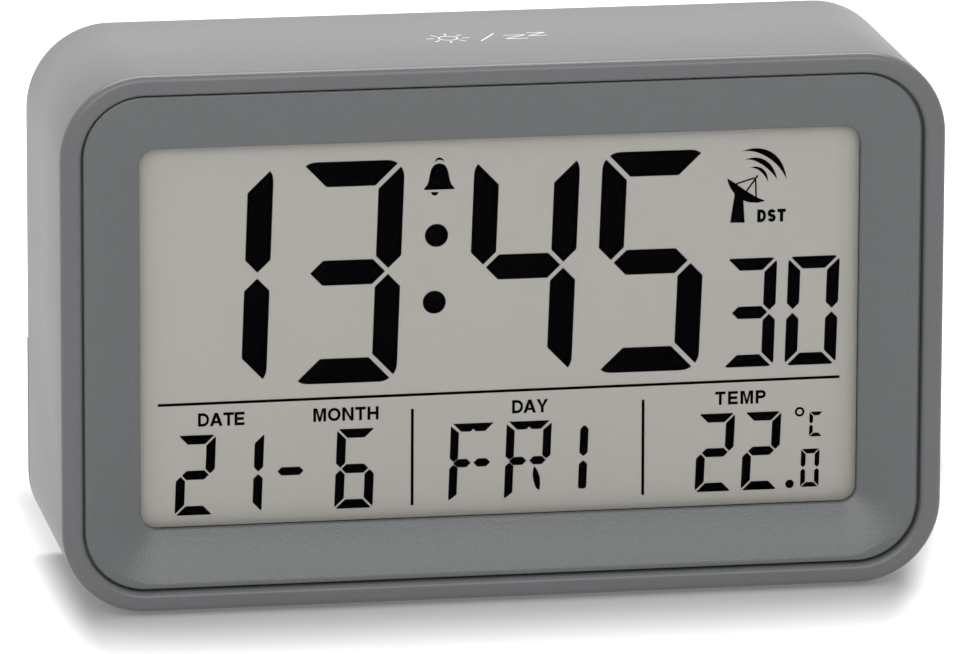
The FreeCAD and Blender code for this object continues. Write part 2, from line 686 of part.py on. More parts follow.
# ---------------------------------------------------------------------------------------------
# Time-signal antenna: a flat ferrite bar with its coil, held on the board by two clips
# ---------------------------------------------------------------------------------------------
def make_antenna():
    half_height, thickness, bar_z, bar_length, lift = 5.0, 4.0, 66.0, 56, 5
    coil_length, coil_depth, clip_x, clip_width, clip_wall, play = 18, 1.3, 21.0, 5, 1.25, 0.05
    bar_front = f"({BOARD_BACK} + {lift})"

    def slab(name, grow, length):
        return centred_box(name, f"({bar_front} - {grow})", f"({bar_front} + {thickness + grow})",
                           str(length), str(bar_z - half_height - grow),
                           str(bar_z + half_height + grow))
    keep(slab("ferrite_bar", 0.0, bar_length), "ferrite_bar")
    keep(cut("antenna_coil", slab("winding", coil_depth, coil_length),
             slab("winding_bore", play, coil_length + 2)), "antenna_coil")

    # each clip has two jaws that close in over the bar
    clips = []
    for side in (-1, 1):
        clip = doc.addObject("PartDesign::Body", "clip")
        profile = new_sketch(clip, "YZ_Plane", bar_front, str(bar_z), str(side * clip_x))
        grip, outer, jaw = half_height + play, half_height + play + clip_wall, 0.8
        half = [(-lift, -outer), (thickness + 1, -outer), (thickness + 1.6, -grip),
                (thickness + 0.5, jaw - grip), (thickness + play, -grip), (0, -grip)]
        other = [(y, -z) for y, z in reversed(half)]
        add_outline(profile, [(str(y), str(z)) for y, z in half + other])
        pad(clip, profile, str(clip_width), both_ways=True)
        clips.append(clip)
    group("antenna_clips", clips)


# ---------------------------------------------------------------------------------------------
# Touch zone: an electrode under the top wall and a leaf from the board that presses on it
# ---------------------------------------------------------------------------------------------
def make_touch_parts():
    ceiling = "(Dim.foot_rise + Dim.case_height - Dim.wall)"
    foil, foil_width, foil_reach = 0.2, 44, 10
    top = f"({ceiling} - {foil})"
    keep(centred_box("touch_electrode", f"(-{foil_reach})", f"({foil_reach})", str(foil_width),
                     top, ceiling), "touch_electrode")
    leaf = new_body("touch_contact")
    sheet_metal, leaf_width, root_z = 0.3, 5, "79"
    profile = new_sketch(leaf, "YZ_Plane")
    add_outline(profile, [
        (BOARD_BACK, root_z),
        (f"{BOARD_BACK} + {sheet_metal}", root_z),
        (f"{BOARD_BACK} + {sheet_metal}", f"{top} - 2.7"),
        (f"{BOARD_BACK} + 4.5", f"{top} - {sheet_metal}"),
        (f"{BOARD_BACK} + 9", f"{top} - {sheet_metal}"),
        (f"{BOARD_BACK} + 9", top),
        (f"{BOARD_BACK} + 4.4", top),
        (BOARD_BACK, f"{top} - 2.5"),
    ])
    pad(leaf, profile, str(leaf_width), both_ways=True)


# ---------------------------------------------------------------------------------------------
# Rear cover: an inset upper plate, a raised lower part with the battery bay, and its fixings
# ---------------------------------------------------------------------------------------------
def make_rear_cover():
    body = new_body("rear_cover")
    plate_inset = "2 * (Dim.wall + Dim.cover_gap)"
    pad_y(body, lambda s: add_rounded(
        s, f"Dim.case_width - {plate_inset}", f"Dim.case_height - {plate_inset}",
        "Dim.corner_radius - Dim.wall - Dim.cover_gap"), PLATE_FRONT, PLATE_BACK, z=MIDDLE)
    pad_y(body, lambda s: add_lower_outline(s, "Dim.case_width", "Dim.step_top - Dim.foot_rise",
                                            "Dim.corner_radius"), STEP_FRONT, BACK, z=BOTTOM)
    dress(body, "Chamfer", "Dim.rear_bevel", on_level(BACK))
    make_battery_bay(body)
    make_cover_fixings(body)
    make_cover_openings(body)


def make_battery_bay(body):
    """The trough for the cells, the recess for the door and the slots for its tabs and latch."""
    outer = new_sketch(body, "YZ_Plane", f"({BAY_FRONT} + {PLATE_FRONT} - Dim.bay_wall) / 2",
                       BAY_Z)
    depth = f"({PLATE_FRONT} - {BAY_FRONT} + Dim.bay_wall)"
    add_rectangle(outer, depth, "Dim.bay_height + 2 * Dim.bay_wall")
    pad(body, outer, "Dim.bay_length + 2 * Dim.bay_wall", both_ways=True)
    floor, floor_round = value(f"{BAY_FRONT} - Dim.bay_wall"), "4"
    dress(body, "Fillet", floor_round, lambda edge: abs(edge.YMin - floor) < 0.01
          and edge.YLength < 0.01 and edge.XLength > value("Dim.bay_length"))
    pocket_y(body, lambda s: add_rectangle(s, "Dim.bay_length", "Dim.bay_height"),
             "Dim.cell_axis_y", BACK, z=BAY_Z)
    cradles = new_sketch(body, "YZ_Plane", "Dim.cell_axis_y", BAY_Z)
    for side in (-1, 1):
        add_circle(cradles, "Dim.cradle_radius", "0", f"{side} * {CELL_OFFSET}")
    pocket(body, cradles, "Dim.bay_length", both_ways=True)
    recess_height = "(Dim.door_recess_top - Dim.door_recess_bottom)"
    pocket_y(body, lambda s: add_rectangle(s, "Dim.door_recess_width", recess_height),
             PLATE_BACK, BACK, z=DOOR_Z)

    def draw_slots(sketch):
        side_room, reach, hook_room = 0.6, 1.8, 2.4
        tab_room = "(Dim.tab_drop + 2.3)"
        for side in (-1, 1):
            add_rectangle(sketch, f"Dim.tab_width + {side_room}", tab_room,
                          f"{side} * Dim.tab_x",
                          f"Dim.door_recess_bottom - {reach} + {tab_room} / 2")
        add_rectangle(sketch, f"Dim.latch_width + 2 * {side_room}", str(hook_room), "0",
                      "Dim.door_recess_top + 0.8")
    pocket_y(body, draw_slots, f"({PLATE_FRONT} - 0.1)", LIP_FRONT)
    # slots in the floor at the right-hand end, for the solder tabs of the two contacts
    slot_width, slot_height = 0.7, 2.8
    for side in (-1, 1):
        pocket_y(body, lambda s: add_rectangle(s, str(slot_width), str(slot_height)),
                 f"({BAY_FRONT} - Dim.bay_wall - 0.1)", "Dim.cell_axis_y",
                 x=f"{BAY_END} - {slot_width / 2}", z=f"{BAY_Z} + {side} * {CELL_OFFSET}")


def make_cover_fixings(body):
    """Seats for the four long screws, and the posts and snap hooks that hold the key board."""
    pocket_y(body, lambda s: four_circles(s, "Dim.cover_screw_shank + Dim.shank_gap", PILLAR_X,
                                          PILLAR_Z), PLATE_FRONT, SCREW_SEAT, z=MIDDLE)
    pocket_y(body, lambda s: four_circles(s, "Dim.cover_screw_head + Dim.head_gap", PILLAR_X,
                                          PILLAR_Z), SCREW_SEAT, BACK, z=MIDDLE)

    def draw_posts(sketch):
        for sx, sz in CORNERS:
            add_rectangle(sketch, "Dim.post_width", "Dim.post_width", f"{sx} * Dim.post_x",
                          f"{sz} * Dim.post_z")
    pad_y(body, draw_posts, KEY_BOARD_BACK, PLATE_FRONT, z="Dim.key_board_z")
    for side in (-1, 1):
        add_snap_hook(body, side, "(Dim.key_board_width / 2 + Dim.hook_gap)", PLATE_FRONT,
                      "Dim.key_board_front", "Dim.key_board_z")


def make_cover_openings(body):
    """Holes for the keys and slide switches, slots for sound and air, and the buzzer's frame."""
    def draw_controls(sketch):
        for i in range(len(KEY_NAMES)):
            add_rectangle(sketch, "Dim.key_width + 2 * Dim.key_gap",
                          "Dim.key_height + 2 * Dim.key_gap", f"{i - 2} * Dim.key_pitch",
                          "Dim.key_z")
        for side in (-1, 1):
            add_rectangle(sketch, "Dim.knob_width + Dim.switch_travel + 2 * Dim.knob_gap",
                          "Dim.knob_height + 2 * Dim.knob_gap", f"{side} * Dim.switch_x",
                          "Dim.switch_z")
    pocket_y(body, draw_controls, PLATE_FRONT, PLATE_BACK)

    def draw_slots(sketch):
        for i in range(5):
            add_rectangle(sketch, "Dim.slot_length", "Dim.slot_height", "Dim.slot_x",
                          f"Dim.slot_z + {i - 2} * Dim.slot_pitch")
        for i in range(3):
            add_rectangle(sketch, "Dim.slot_length", "Dim.slot_height", "-Dim.slot_x",
                          f"Dim.slot_z + {i - 1} * Dim.slot_pitch")
    pocket_y(body, draw_slots, PLATE_FRONT, BACK)

    def draw_frame(sketch):
        for width in ("Dim.buzzer_frame", "(Dim.buzzer_frame - 2 * Dim.buzzer_frame_wall)"):
            add_rectangle(sketch, width, width, "Dim.slot_x", "Dim.slot_z")
    pad_y(body, draw_frame, BUZZER_FRONT, PLATE_FRONT)


def make_cover_screws():
    screws = []
    for sx, sz in CORNERS:
        x, z = f"{sx} * {PILLAR_X}", f"{MIDDLE} + {sz} * {PILLAR_Z}"
        head = cylinder("cover_screw_head", "y", "Dim.cover_screw_head",
                        "Dim.cover_screw_head_height", x, SCREW_SEAT, z)
        shank = cylinder("cover_screw_shank", "y", "Dim.cover_screw_shank",
                         "Dim.cover_screw_length", x,
                         f"{SCREW_SEAT} - Dim.cover_screw_length", z)
        screws.append(fuse("cover_screw", head, shank))
    group("rear_cover_screws", screws)


# ---------------------------------------------------------------------------------------------
# Buzzer, a brass disc glued over its frame, and temperature sensor
# ---------------------------------------------------------------------------------------------
def make_sound_and_sensor():
    disc_radius, disc_thickness = 11.2, 0.5
    keep(cylinder("buzzer", "y", str(disc_radius), str(disc_thickness), "Dim.slot_x",
                  f"{BUZZER_FRONT} - {disc_thickness}", "Dim.slot_z"), "buzzer")
    bead_width = 4
    keep(centred_box("temperature_sensor", SENSOR_FRONT, PLATE_FRONT, str(bead_width),
                     "Dim.slot_z - Dim.slot_height - Dim.slot_pitch / 2",
                     "Dim.slot_z - Dim.slot_height", "-Dim.slot_x"), "temperature_sensor")


# ---------------------------------------------------------------------------------------------
# Key board with five tact switches and two slide switches, and the keys and knobs themselves
# ---------------------------------------------------------------------------------------------
def make_key_board():
    body = new_body("key_board")
    pad_y(body, lambda s: add_rectangle(s, "Dim.key_board_width", "Dim.key_board_height"),
          "Dim.key_board_front", KEY_BOARD_BACK, z="Dim.key_board_z")


def make_keys():
    """Each key is a cap with a flange behind the cover and a stem to its switch."""
    plunger_end = f"({SWITCH_TOP} + Dim.plunger_proud)"
    well_depth, plunger_length, edge_chamfer = 1.8, 2, "0.5"
    well_width = "(Dim.plunger_width + 2 * Dim.plunger_gap)"

    def draw_stem(sketch):
        """A stem of cross section, as a plus sign."""
        arm, web = 1.9, 0.5
        quarter = [(web, arm), (web, web), (arm, web)]
        points = []
        for turn in range(4):
            points += quarter
            quarter = [(y, -x) for x, y in quarter]
        add_outline(sketch, [(str(x), str(y)) for x, y in points])

    switches = []
    for i, name in enumerate(KEY_NAMES):
        x = f"{i - 2} * Dim.key_pitch"

        def square(label, front, back, width):
            return centred_box(label, front, back, width, f"Dim.key_z - {width} / 2",
                               f"Dim.key_z + {width} / 2", x)
        switches.append(cut("tact_switch", square(
            "tact_case", KEY_BOARD_BACK, SWITCH_TOP, "Dim.tact_width"), square(
            "tact_well", f"({SWITCH_TOP} - {well_depth})", SWITCH_TOP, well_width)))
        keep(square(f"{name}_plunger", f"({plunger_end} - {plunger_length})", plunger_end,
                    "Dim.plunger_width"), f"{name}_plunger")

        key = new_body(name)
        pad_y(key, draw_stem, plunger_end, FLANGE_FRONT, x, "Dim.key_z")
        pad_y(key, lambda s: add_rectangle(s, "Dim.key_width + 2 * Dim.key_flange",
                                           "Dim.key_height + 2 * Dim.key_flange"),
              FLANGE_FRONT, FLANGE_BACK, x, "Dim.key_z")
        pad_y(key, lambda s: add_rectangle(s, "Dim.key_width", "Dim.key_height"), FLANGE_BACK,
              f"({PLATE_BACK} + Dim.key_proud)", x, "Dim.key_z")
        cap = value(f"{PLATE_BACK} + Dim.key_proud")
        dress(key, "Chamfer", edge_chamfer, lambda edge: abs(edge.YMax - cap) < 0.01)
    group("tact_switches", switches)


def make_slide_switches():
    """A slider behind the cover carries the knob through its slot and a stem to the switch."""
    case_width, case_height, groove_depth, groove_height = 9, 4, 1.5, 1.6
    stem_width, stem_height, stem_sunk, stem_room = 1.8, 1.3, 1.2, 0.4
    slider_width, slider_height, grip_proud, ridge_rise, ridge_width = 13, 5.2, 0.7, 0.3, 0.5
    case_top = f"({SWITCH_TOP} + 0.1)"
    grip_back = f"({PLATE_BACK} + {grip_proud})"
    for name, side in (("alarm_switch", -1), ("light_switch", 1)):
        middle = f"({side} * Dim.switch_x)"
        rest = f"({middle} + Dim.switch_travel / 2)"

        def block(label, front, back, width, height, x):
            return centred_box(label, front, back, str(width), f"Dim.switch_z - {height} / 2",
                               f"Dim.switch_z + {height} / 2", x)
        keep(cut(f"{name}_body", block(
            "switch_case", KEY_BOARD_BACK, case_top, case_width, case_height, middle), block(
            "switch_groove", f"({case_top} - {groove_depth})", case_top,
            f"{stem_width} + Dim.switch_travel + {stem_room}", groove_height, middle)),
            f"{name}_body")

        stem = block("switch_stem", f"({SWITCH_TOP} - {stem_sunk})", FLANGE_FRONT, stem_width,
                     stem_height, rest)
        slider = block("switch_slider", FLANGE_FRONT, FLANGE_BACK, slider_width, slider_height,
                       rest)
        grip = block("switch_grip", FLANGE_BACK, grip_back, "Dim.knob_width", "Dim.knob_height",
                     rest)
        ridges = [block("switch_ridge", grip_back, f"({grip_back} + {ridge_rise})", ridge_width,
                        "Dim.knob_height", f"{rest} + {step}") for step in (-1.2, 0, 1.2)]
        keep(fuse(f"{name}_knob", stem, slider, grip, *ridges), f"{name}_knob")


# ---------------------------------------------------------------------------------------------
# Cells, contacts, door and latch
# ---------------------------------------------------------------------------------------------
def make_cells_and_contacts():
    """The upper cell's nub points right and the lower one's left, so the contacts at the left
    join them in series. Each cell rests on its positive contact and a leaf presses its other
    end."""
    plate_reach = "(Dim.cradle_radius - 1.4)"
    total = "(Dim.cell_length + Dim.nub_length)"
    inner_end = f"({BAY_END} - Dim.contact_thickness)"
    for label, side in (("battery_upper", 1), ("battery_lower", -1)):
        z = f"{BAY_Z} + {side} * {CELL_OFFSET}"
        start = f"({inner_end} - {total})" if side > 0 else f"(-{inner_end} + Dim.nub_length)"
        nub = f"({inner_end} - Dim.nub_length)" if side > 0 else f"(-{inner_end})"
        can = cylinder(f"{label}_can", "x", "Dim.cell_radius", "Dim.cell_length", start,
                       "Dim.cell_axis_y", z)
        tip = cylinder(f"{label}_nub", "x", "Dim.nub_radius", "Dim.nub_length", nub,
                       "Dim.cell_axis_y", z)
        keep(fuse(label, can, tip), label)

    plate_front = f"(Dim.cell_axis_y - {plate_reach} + 0.5)"
    plate_back = f"({PLATE_BACK} - 0.6)"
    spring_room = f"({BAY_END} * 2 - 2 * Dim.contact_thickness - {total})"

    def plate(name, x, side):
        z = f"{BAY_Z} + {side} * {CELL_OFFSET}"
        return centred_box(name, plate_front, plate_back, "Dim.contact_thickness",
                           f"{z} - {plate_reach}", f"{z} + {plate_reach}", x)

    def leaf(name, end, side):
        """A sprung strip bowed out from its plate to the flat end of a cell."""
        strip, half, crown, width = 0.4, 3.6, 1.2, "4"
        rise = f"({spring_room} - 0.1)"
        body = doc.addObject("PartDesign::Body", name)
        z = f"{BAY_Z} + {side} * {CELL_OFFSET}"
        sketch = new_sketch(body, "XZ_Plane", f"{end} * {inner_end}", z,
                            "-(Dim.cell_axis_y + 2)")
        add_outline(sketch, [
            ("0", f"-{half}"), (f"{-end} * {strip}", f"-{half}"),
            (f"{-end} * {rise}", f"-{crown}"), (f"{-end} * {rise}", f"{crown}"),
            (f"{-end} * {strip}", f"{half}"), ("0", f"{half}"),
            ("0", f"{half} - 0.6"), (f"{-end} * ({rise} - {strip})", f"{crown} - 0.3"),
            (f"{-end} * ({rise} - {strip})", f"0.3 - {crown}"), ("0", f"-{half} + 0.6"),
        ])
        pad(body, sketch, width)
        return body

    left, right = f"(-{BAY_END} + Dim.contact_thickness / 2)", \
        f"({BAY_END} - Dim.contact_thickness / 2)"
    bridge = centred_box("jumper_bridge", "(Dim.cell_axis_y + 0.3)", plate_back,
                         "Dim.contact_thickness", f"{BAY_Z} - {CELL_OFFSET}",
                         f"{BAY_Z} + {CELL_OFFSET}", left)
    keep(fuse("battery_jumper_contact", plate("jumper_low", left, -1),
              plate("jumper_high", left, 1), bridge, leaf("jumper_leaf", -1, 1)),
         "battery_jumper_contact")

    def tab(name, side):
        z = f"({BAY_Z} + {side} * {CELL_OFFSET})"
        half_width = 1.2
        return centred_box(name, TAB_END, f"({plate_front} + 0.5)", "Dim.contact_thickness",
                           f"{z} - {half_width}", f"{z} + {half_width}", right)
    keep(fuse("battery_positive_contact", plate("positive_plate", right, 1),
              tab("positive_tab", 1)), "battery_positive_contact")
    keep(fuse("battery_negative_contact", plate("negative_plate", right, -1),
              tab("negative_tab", -1), leaf("negative_leaf", 1, -1)),
         "battery_negative_contact")


def make_battery_door():
    """The door hooks in by two tabs, on which it swings, and its tongue snaps under the lip."""
    body = new_body("battery_door")
    door_height = f"({DOOR_TOP} - {DOOR_BOTTOM})"
    pad_y(body, lambda s: add_rectangle(s, "Dim.door_recess_width - 4 * Dim.door_gap",
                                        door_height), DOOR_FRONT, BACK, z=DOOR_Z)
    low = value(DOOR_BOTTOM)
    dress(body, "Fillet", "Dim.door_thickness / 2 - 0.05",
          lambda box: abs(box.ZMin - low) < 0.01 and abs(box.ZMax - low) < 0.01
          and box.XLength > 10)
    tab_height = "(Dim.tab_drop + 1.5)"

    def draw_tabs(sketch):
        for side in (-1, 1):
            add_rectangle(sketch, "Dim.tab_width", tab_height, f"{side} * Dim.tab_x",
                          f"{DOOR_BOTTOM} - Dim.tab_drop + {tab_height} / 2")
    pad_y(body, draw_tabs, DOOR_FRONT, f"({DOOR_FRONT} + Dim.tab_thickness)")
    notch = "(Dim.latch_length + 0.01)"
    pocket_y(body, lambda s: add_rectangle(s, "Dim.latch_width + 0.8", notch),
             DOOR_FRONT, BACK, z=f"({DOOR_TOP} - Dim.latch_length / 2 + 0.005)")

    tongue = centred_box("latch_tongue", DOOR_FRONT, f"({DOOR_FRONT} + Dim.tab_thickness)",
                         "Dim.latch_width", f"{DOOR_TOP} - Dim.latch_length",
                         f"{DOOR_TOP} + Dim.latch_hook")
    grip_width = 0.7
    grips = [centred_box("latch_grip", f"({DOOR_FRONT} + Dim.tab_thickness)", BACK,
                         "Dim.latch_width - 2", f"{DOOR_TOP} - {drop}",
                         f"{DOOR_TOP} - {drop} + {grip_width}") for drop in (1.6, 3.2, 4.8)]
    keep(fuse("battery_door_latch", tongue, *grips), "battery_door_latch")


# ---------------------------------------------------------------------------------------------
# Leads inside the case, single or twin: each is flat, with straight runs joined by tangent arcs
# ---------------------------------------------------------------------------------------------
def rounded_path(points):
    """A wire through points, with an arc at each turn that is as large as its two runs allow."""
    edges, start = [], points[0]
    for before, corner, after in zip(points, points[1:], points[2:]):
        run_in, run_out = corner - before, after - corner
        turn = run_in.getAngle(run_out)
        shorter = min(run_in.Length, run_out.Length)
        trim = 0.45 * shorter
        one, two = Vector(run_in).normalize(), Vector(run_out).normalize()
        arc_start, arc_end = corner - one * trim, corner + two * trim
        radius = trim / math.tan(turn / 2)
        middle = (two - one).normalize() * radius / math.cos(turn / 2) + corner
        crown = middle + (corner - middle).normalize() * radius
        edges.append(Part.LineSegment(start, arc_start).toShape())
        edges.append(Part.Arc(arc_start, crown, arc_end).toShape())
        start = arc_end
    edges.append(Part.LineSegment(start, points[-1]).toShape())
    return Part.Wire(edges)


def flat_lead(name, x, places, width, thickness):
    """A flat lead in the plane at x, through places given as (y, z) pairs of expressions."""
    points = [Vector(value(x), value(y), value(z)) for y, z in places]
    path = rounded_path(points)
    along = (points[1] - points[0]).normalize()
    across, up = Vector(width / 2, 0, 0), along.cross(Vector(1, 0, 0)) * (thickness / 2)
    corners = [points[0] + across * sx + up * sy for sx, sy in CORNERS]
    section = Part.makePolygon(corners + corners[:1])
    shape = path.makePipeShell([section], True, False)
    expected = width * thickness * path.Length
    if abs(shape.Volume - expected) > 0.03 * expected:
        raise RuntimeError(f"{name}: its ribbon has the wrong volume")
    item = doc.addObject("Part::Feature", name)
    item.Shape = shape
    return item


def s_bend(y_from, z_from, y_to, z_to, straight):
    """Corners of a lead that leaves one level and reaches another, both ways along Y."""
    return [(y_from, z_from), (f"{y_from} - {straight}", z_from),
            (f"{y_to} + {straight}", z_to), (y_to, z_to)]


def make_leads():
    group("battery_leads", [
        flat_lead("battery_lead", f"{BAY_END} - Dim.contact_thickness / 2", s_bend(
            TAB_END, f"{BAY_Z} + {side} * {CELL_OFFSET}", BOARD_BACK,
            f"{BAY_Z} + {side} * {CELL_OFFSET} + 6", 5), 1.4, 1.0) for side in (-1, 1)])
    keep(flat_lead("buzzer_leads", "Dim.slot_x", s_bend(
        f"({BUZZER_FRONT} - 0.5)", "Dim.slot_z", BOARD_BACK, "Dim.slot_z + 9", 8), 2.6, 0.8),
        "buzzer_leads")
    keep(flat_lead("sensor_lead", "-Dim.slot_x", s_bend(
        SENSOR_FRONT, "Dim.slot_z - Dim.slot_pitch / 2 - 0.1", BOARD_BACK, "Dim.slot_z + 9", 8),
        2.6, 0.8), "sensor_lead")
    keep(flat_lead("board_ribbon", "0", s_bend(
        "Dim.key_board_front", "57", BOARD_BACK, "48", 5), 14, 0.5), "board_ribbon")


def make_feet():
    feet = [cylinder("foot", "z", "Dim.foot_radius", "Dim.foot_rise", f"{sx} * Dim.foot_x",
                     f"{sy} * Dim.foot_y") for sx, sy in CORNERS]
    group("feet", feet)


# ---------------------------------------------------------------------------------------------
# Build, check and write
# ---------------------------------------------------------------------------------------------
make_housing()
make_front_panel()
make_display()
make_main_board()
make_antenna()
make_touch_parts()
make_rear_cover()
make_cover_screws()
make_sound_and_sensor()
make_key_board()
make_keys()
make_slide_switches()
make_cells_and_contacts()
make_battery_door()
make_leads()
make_feet()
doc.recompute()

for item in doc.Objects:
    if {"Invalid", "Error"} & set(item.State):
        raise RuntimeError(f"{item.Label}: {item.State}")
for item in pieces:
    if item.Shape.isNull() or not item.Shape.isValid():
        raise RuntimeError(f"{item.Label}: its shape is not valid")

os.makedirs("parts", exist_ok=True)
for item in pieces:
    item.Shape.exportStep(f"parts/{item.Label}.step")
print(f"{len(pieces)} pieces written")
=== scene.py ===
import math

import bmesh
import bpy
from mathutils import Matrix, Vector


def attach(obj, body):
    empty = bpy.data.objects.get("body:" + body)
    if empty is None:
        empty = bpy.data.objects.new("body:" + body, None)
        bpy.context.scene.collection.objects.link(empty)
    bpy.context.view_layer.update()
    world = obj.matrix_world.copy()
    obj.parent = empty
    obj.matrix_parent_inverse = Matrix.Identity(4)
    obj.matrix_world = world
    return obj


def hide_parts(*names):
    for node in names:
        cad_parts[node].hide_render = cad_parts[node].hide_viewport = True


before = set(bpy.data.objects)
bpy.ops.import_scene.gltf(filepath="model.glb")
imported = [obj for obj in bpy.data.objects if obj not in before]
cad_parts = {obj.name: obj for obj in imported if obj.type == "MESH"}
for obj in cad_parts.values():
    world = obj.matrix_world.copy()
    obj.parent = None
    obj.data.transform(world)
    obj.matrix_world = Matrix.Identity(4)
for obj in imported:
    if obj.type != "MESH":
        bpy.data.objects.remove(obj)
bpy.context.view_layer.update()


# ------------------------------
# Table and studio. The clock stands on a plain white table in a white room,
# lit by one broad soft lamp above and behind it and a weaker one in front.
MM = 0.001


def colour(hex_code):
    """The linear RGBA value of an sRGB colour such as "#6a6e71"."""
    parts = [int(hex_code[i:i + 2], 16) / 255 for i in (1, 3, 5)]
    linear = [p / 12.92 if p <= 0.04045 else ((p + 0.055) / 1.055) ** 2.4 for p in parts]
    return (*linear, 1.0)


def node(tree, kind, inputs=None, **settings):
    """Adds a shader node. Each input is given as a value, as a colour's hex code, or as the
    socket or node that feeds it: a node does so by its first output in use."""
    made = tree.nodes.new("ShaderNode" + kind)
    for name, value in settings.items():
        setattr(made, name, value)
    for name, value in (inputs or {}).items():
        socket = made.inputs[name]
        if isinstance(value, bpy.types.Node):
            value = next(output for output in value.outputs if output.enabled)
        if isinstance(value, bpy.types.NodeSocket):
            tree.links.new(value, socket)
        elif isinstance(value, str):
            socket.default_value = colour(value)[:len(socket.default_value)]
        else:
            socket.default_value = value
    return made


def new_material(name):
    """An empty material, given back with its node tree and the place on the piece."""
    made = bpy.data.materials.new(name)
    made.use_nodes = True
    made.node_tree.nodes.clear()
    return made, made.node_tree, node(made.node_tree, "TexCoord").outputs["Object"]


def mottled(tree, place, size_mm, one, two, detail=2.0):
    """A colour that drifts between two others in clouds of a real size."""
    clouds = node(tree, "TexNoise", {"Vector": place, "Scale": 1 / (size_mm * MM),
                                     "Detail": detail})
    return node(tree, "Mix", {0: clouds, 6: one, 7: two}, data_type="RGBA")


def deselect():
    """Leaves edit mode and lets go of everything, for an operator acts on all that is chosen."""
    if bpy.context.mode != "OBJECT":
        bpy.ops.object.mode_set(mode="OBJECT")
    bpy.ops.object.select_all(action="DESELECT")


# painted board: matt and white, with nine fibres to the centimetre under the paint
table_white, tree, place = new_material("white_table_board")
matt = node(tree, "BsdfDiffuse", {"Color": mottled(tree, place, 10 / 9, "#efefef", "#f3f3f3", 3.0)})
rays = node(tree, "LightPath").outputs
# seen directly, the board is a greyer matt under a painted white glow that grows away from the
# clock, which leaves a painted soft shadow round its foot: for each way across the board, where
# the glow starts and over what distance (metres)
total = 0.0
for way, start, fade in (((-1.0, 0.0, 0.0), 0.0695, 0.0095), ((1.0, -0.3, 0.0), 0.0735, 0.009),
                         ((0.0, -1.0, 0.0), 0.0225, 0.048), ((0.0, 1.0, 0.0), 0.055, 0.035)):
    reach = node(tree, "VectorMath", {0: place, 1: way}, operation="DOT_PRODUCT")
    past = node(tree, "MapRange", {"Value": reach, "From Min": start, "From Max": start + fade})
    total = node(tree, "Math", {0: past, 1: past, 2: total}, operation="MULTIPLY_ADD")
away = node(tree, "Math", {0: total}, operation="SQRT")
painted_glow = node(tree, "MapRange", {"Value": away, "To Min": 0.15, "To Max": 0.85},
            interpolation_type="SMOOTHSTEP")
white = node(tree, "Emission", {"Color": "#ffffff", "Strength": painted_glow})
shaded = node(tree, "BsdfDiffuse", {"Color": "#bcbcbc"})
seen = node(tree, "AddShader", {0: shaded, 1: white})
# mirrored in the case, the board is a white glow, with painted shade only where it meets the
# clock's foot, half a case's width and depth from its middle
beside = node(tree, "VectorMath", {0: place}, operation="ABSOLUTE")
past = node(tree, "VectorMath", {0: beside, 1: (0.075, 0.0225, 0.0)}, operation="SUBTRACT")
clear = node(tree, "VectorMath", {0: past, 1: (0.0, 0.0, 0.0)}, operation="MAXIMUM")
gap = node(tree, "VectorMath", {0: clear}, operation="LENGTH")
painted_foot_shade = node(tree, "MapRange", {"Value": gap, "From Max": 0.003, "To Min": 0.7},
            interpolation_type="SMOOTHSTEP")
mirrored = node(tree, "Emission", {"Color": "#ffffff", "Strength": painted_foot_shade})
camera_or_not = node(tree, "MixShader", {0: rays["Is Camera Ray"], 1: matt, 2: seen})
node(tree, "OutputMaterial", {0: node(tree, "MixShader", {
    0: rays["Is Glossy Ray"], 1: camera_or_not, 2: mirrored})})

deselect()
bpy.ops.mesh.primitive_plane_add(size=12.0)
table = bpy.context.object
table.name = "table"
table.data.materials.append(table_white)

# the room is white where it is seen, mirrored or looked at through glass, and lights dimly
room = bpy.data.worlds.new("white_room")
bpy.context.scene.world = room
room.use_nodes = True
tree = room.node_tree
tree.nodes.clear()
rays = node(tree, "LightPath").outputs
seen_white = node(tree, "Background", {"Color": "#ffffff", "Strength": 1.0})
ambient = node(tree, "Background", {"Color": "#ffffff", "Strength": 0.56})
direct = node(tree, "Math", {0: rays["Is Camera Ray"], 1: rays["Is Transmission Ray"]},
              operation="MAXIMUM")
plain = node(tree, "Math", {0: direct, 1: rays["Is Glossy Ray"]}, operation="MAXIMUM")
node(tree, "OutputWorld", {0: node(tree, "MixShader", {0: plain, 1: ambient, 2: seen_white})})


def soft_lamp(name, at, aim, width, depth, watts):
    """A rectangular soft box at a place, turned towards a point (metres)."""
    deselect()
    bpy.ops.object.light_add(type="AREA", location=at)
    lamp = bpy.context.object
    lamp.name = name
    lamp.rotation_euler = (Vector(aim) - Vector(at)).to_track_quat("-Z", "Y").to_euler()
    lamp.data.shape = "RECTANGLE"
    lamp.data.size = width
    lamp.data.size_y = depth
    lamp.data.energy = watts


CLOCK_MIDDLE = (0.0, 0.0, 0.05)
soft_lamp("overhead_softbox", (0.0, 0.3, 1.1), CLOCK_MIDDLE, 1.3, 0.6, 12.0)
soft_lamp("front_fill", (-0.2, -1.6, 0.9), CLOCK_MIDDLE, 2.0, 0.8, 11.5)

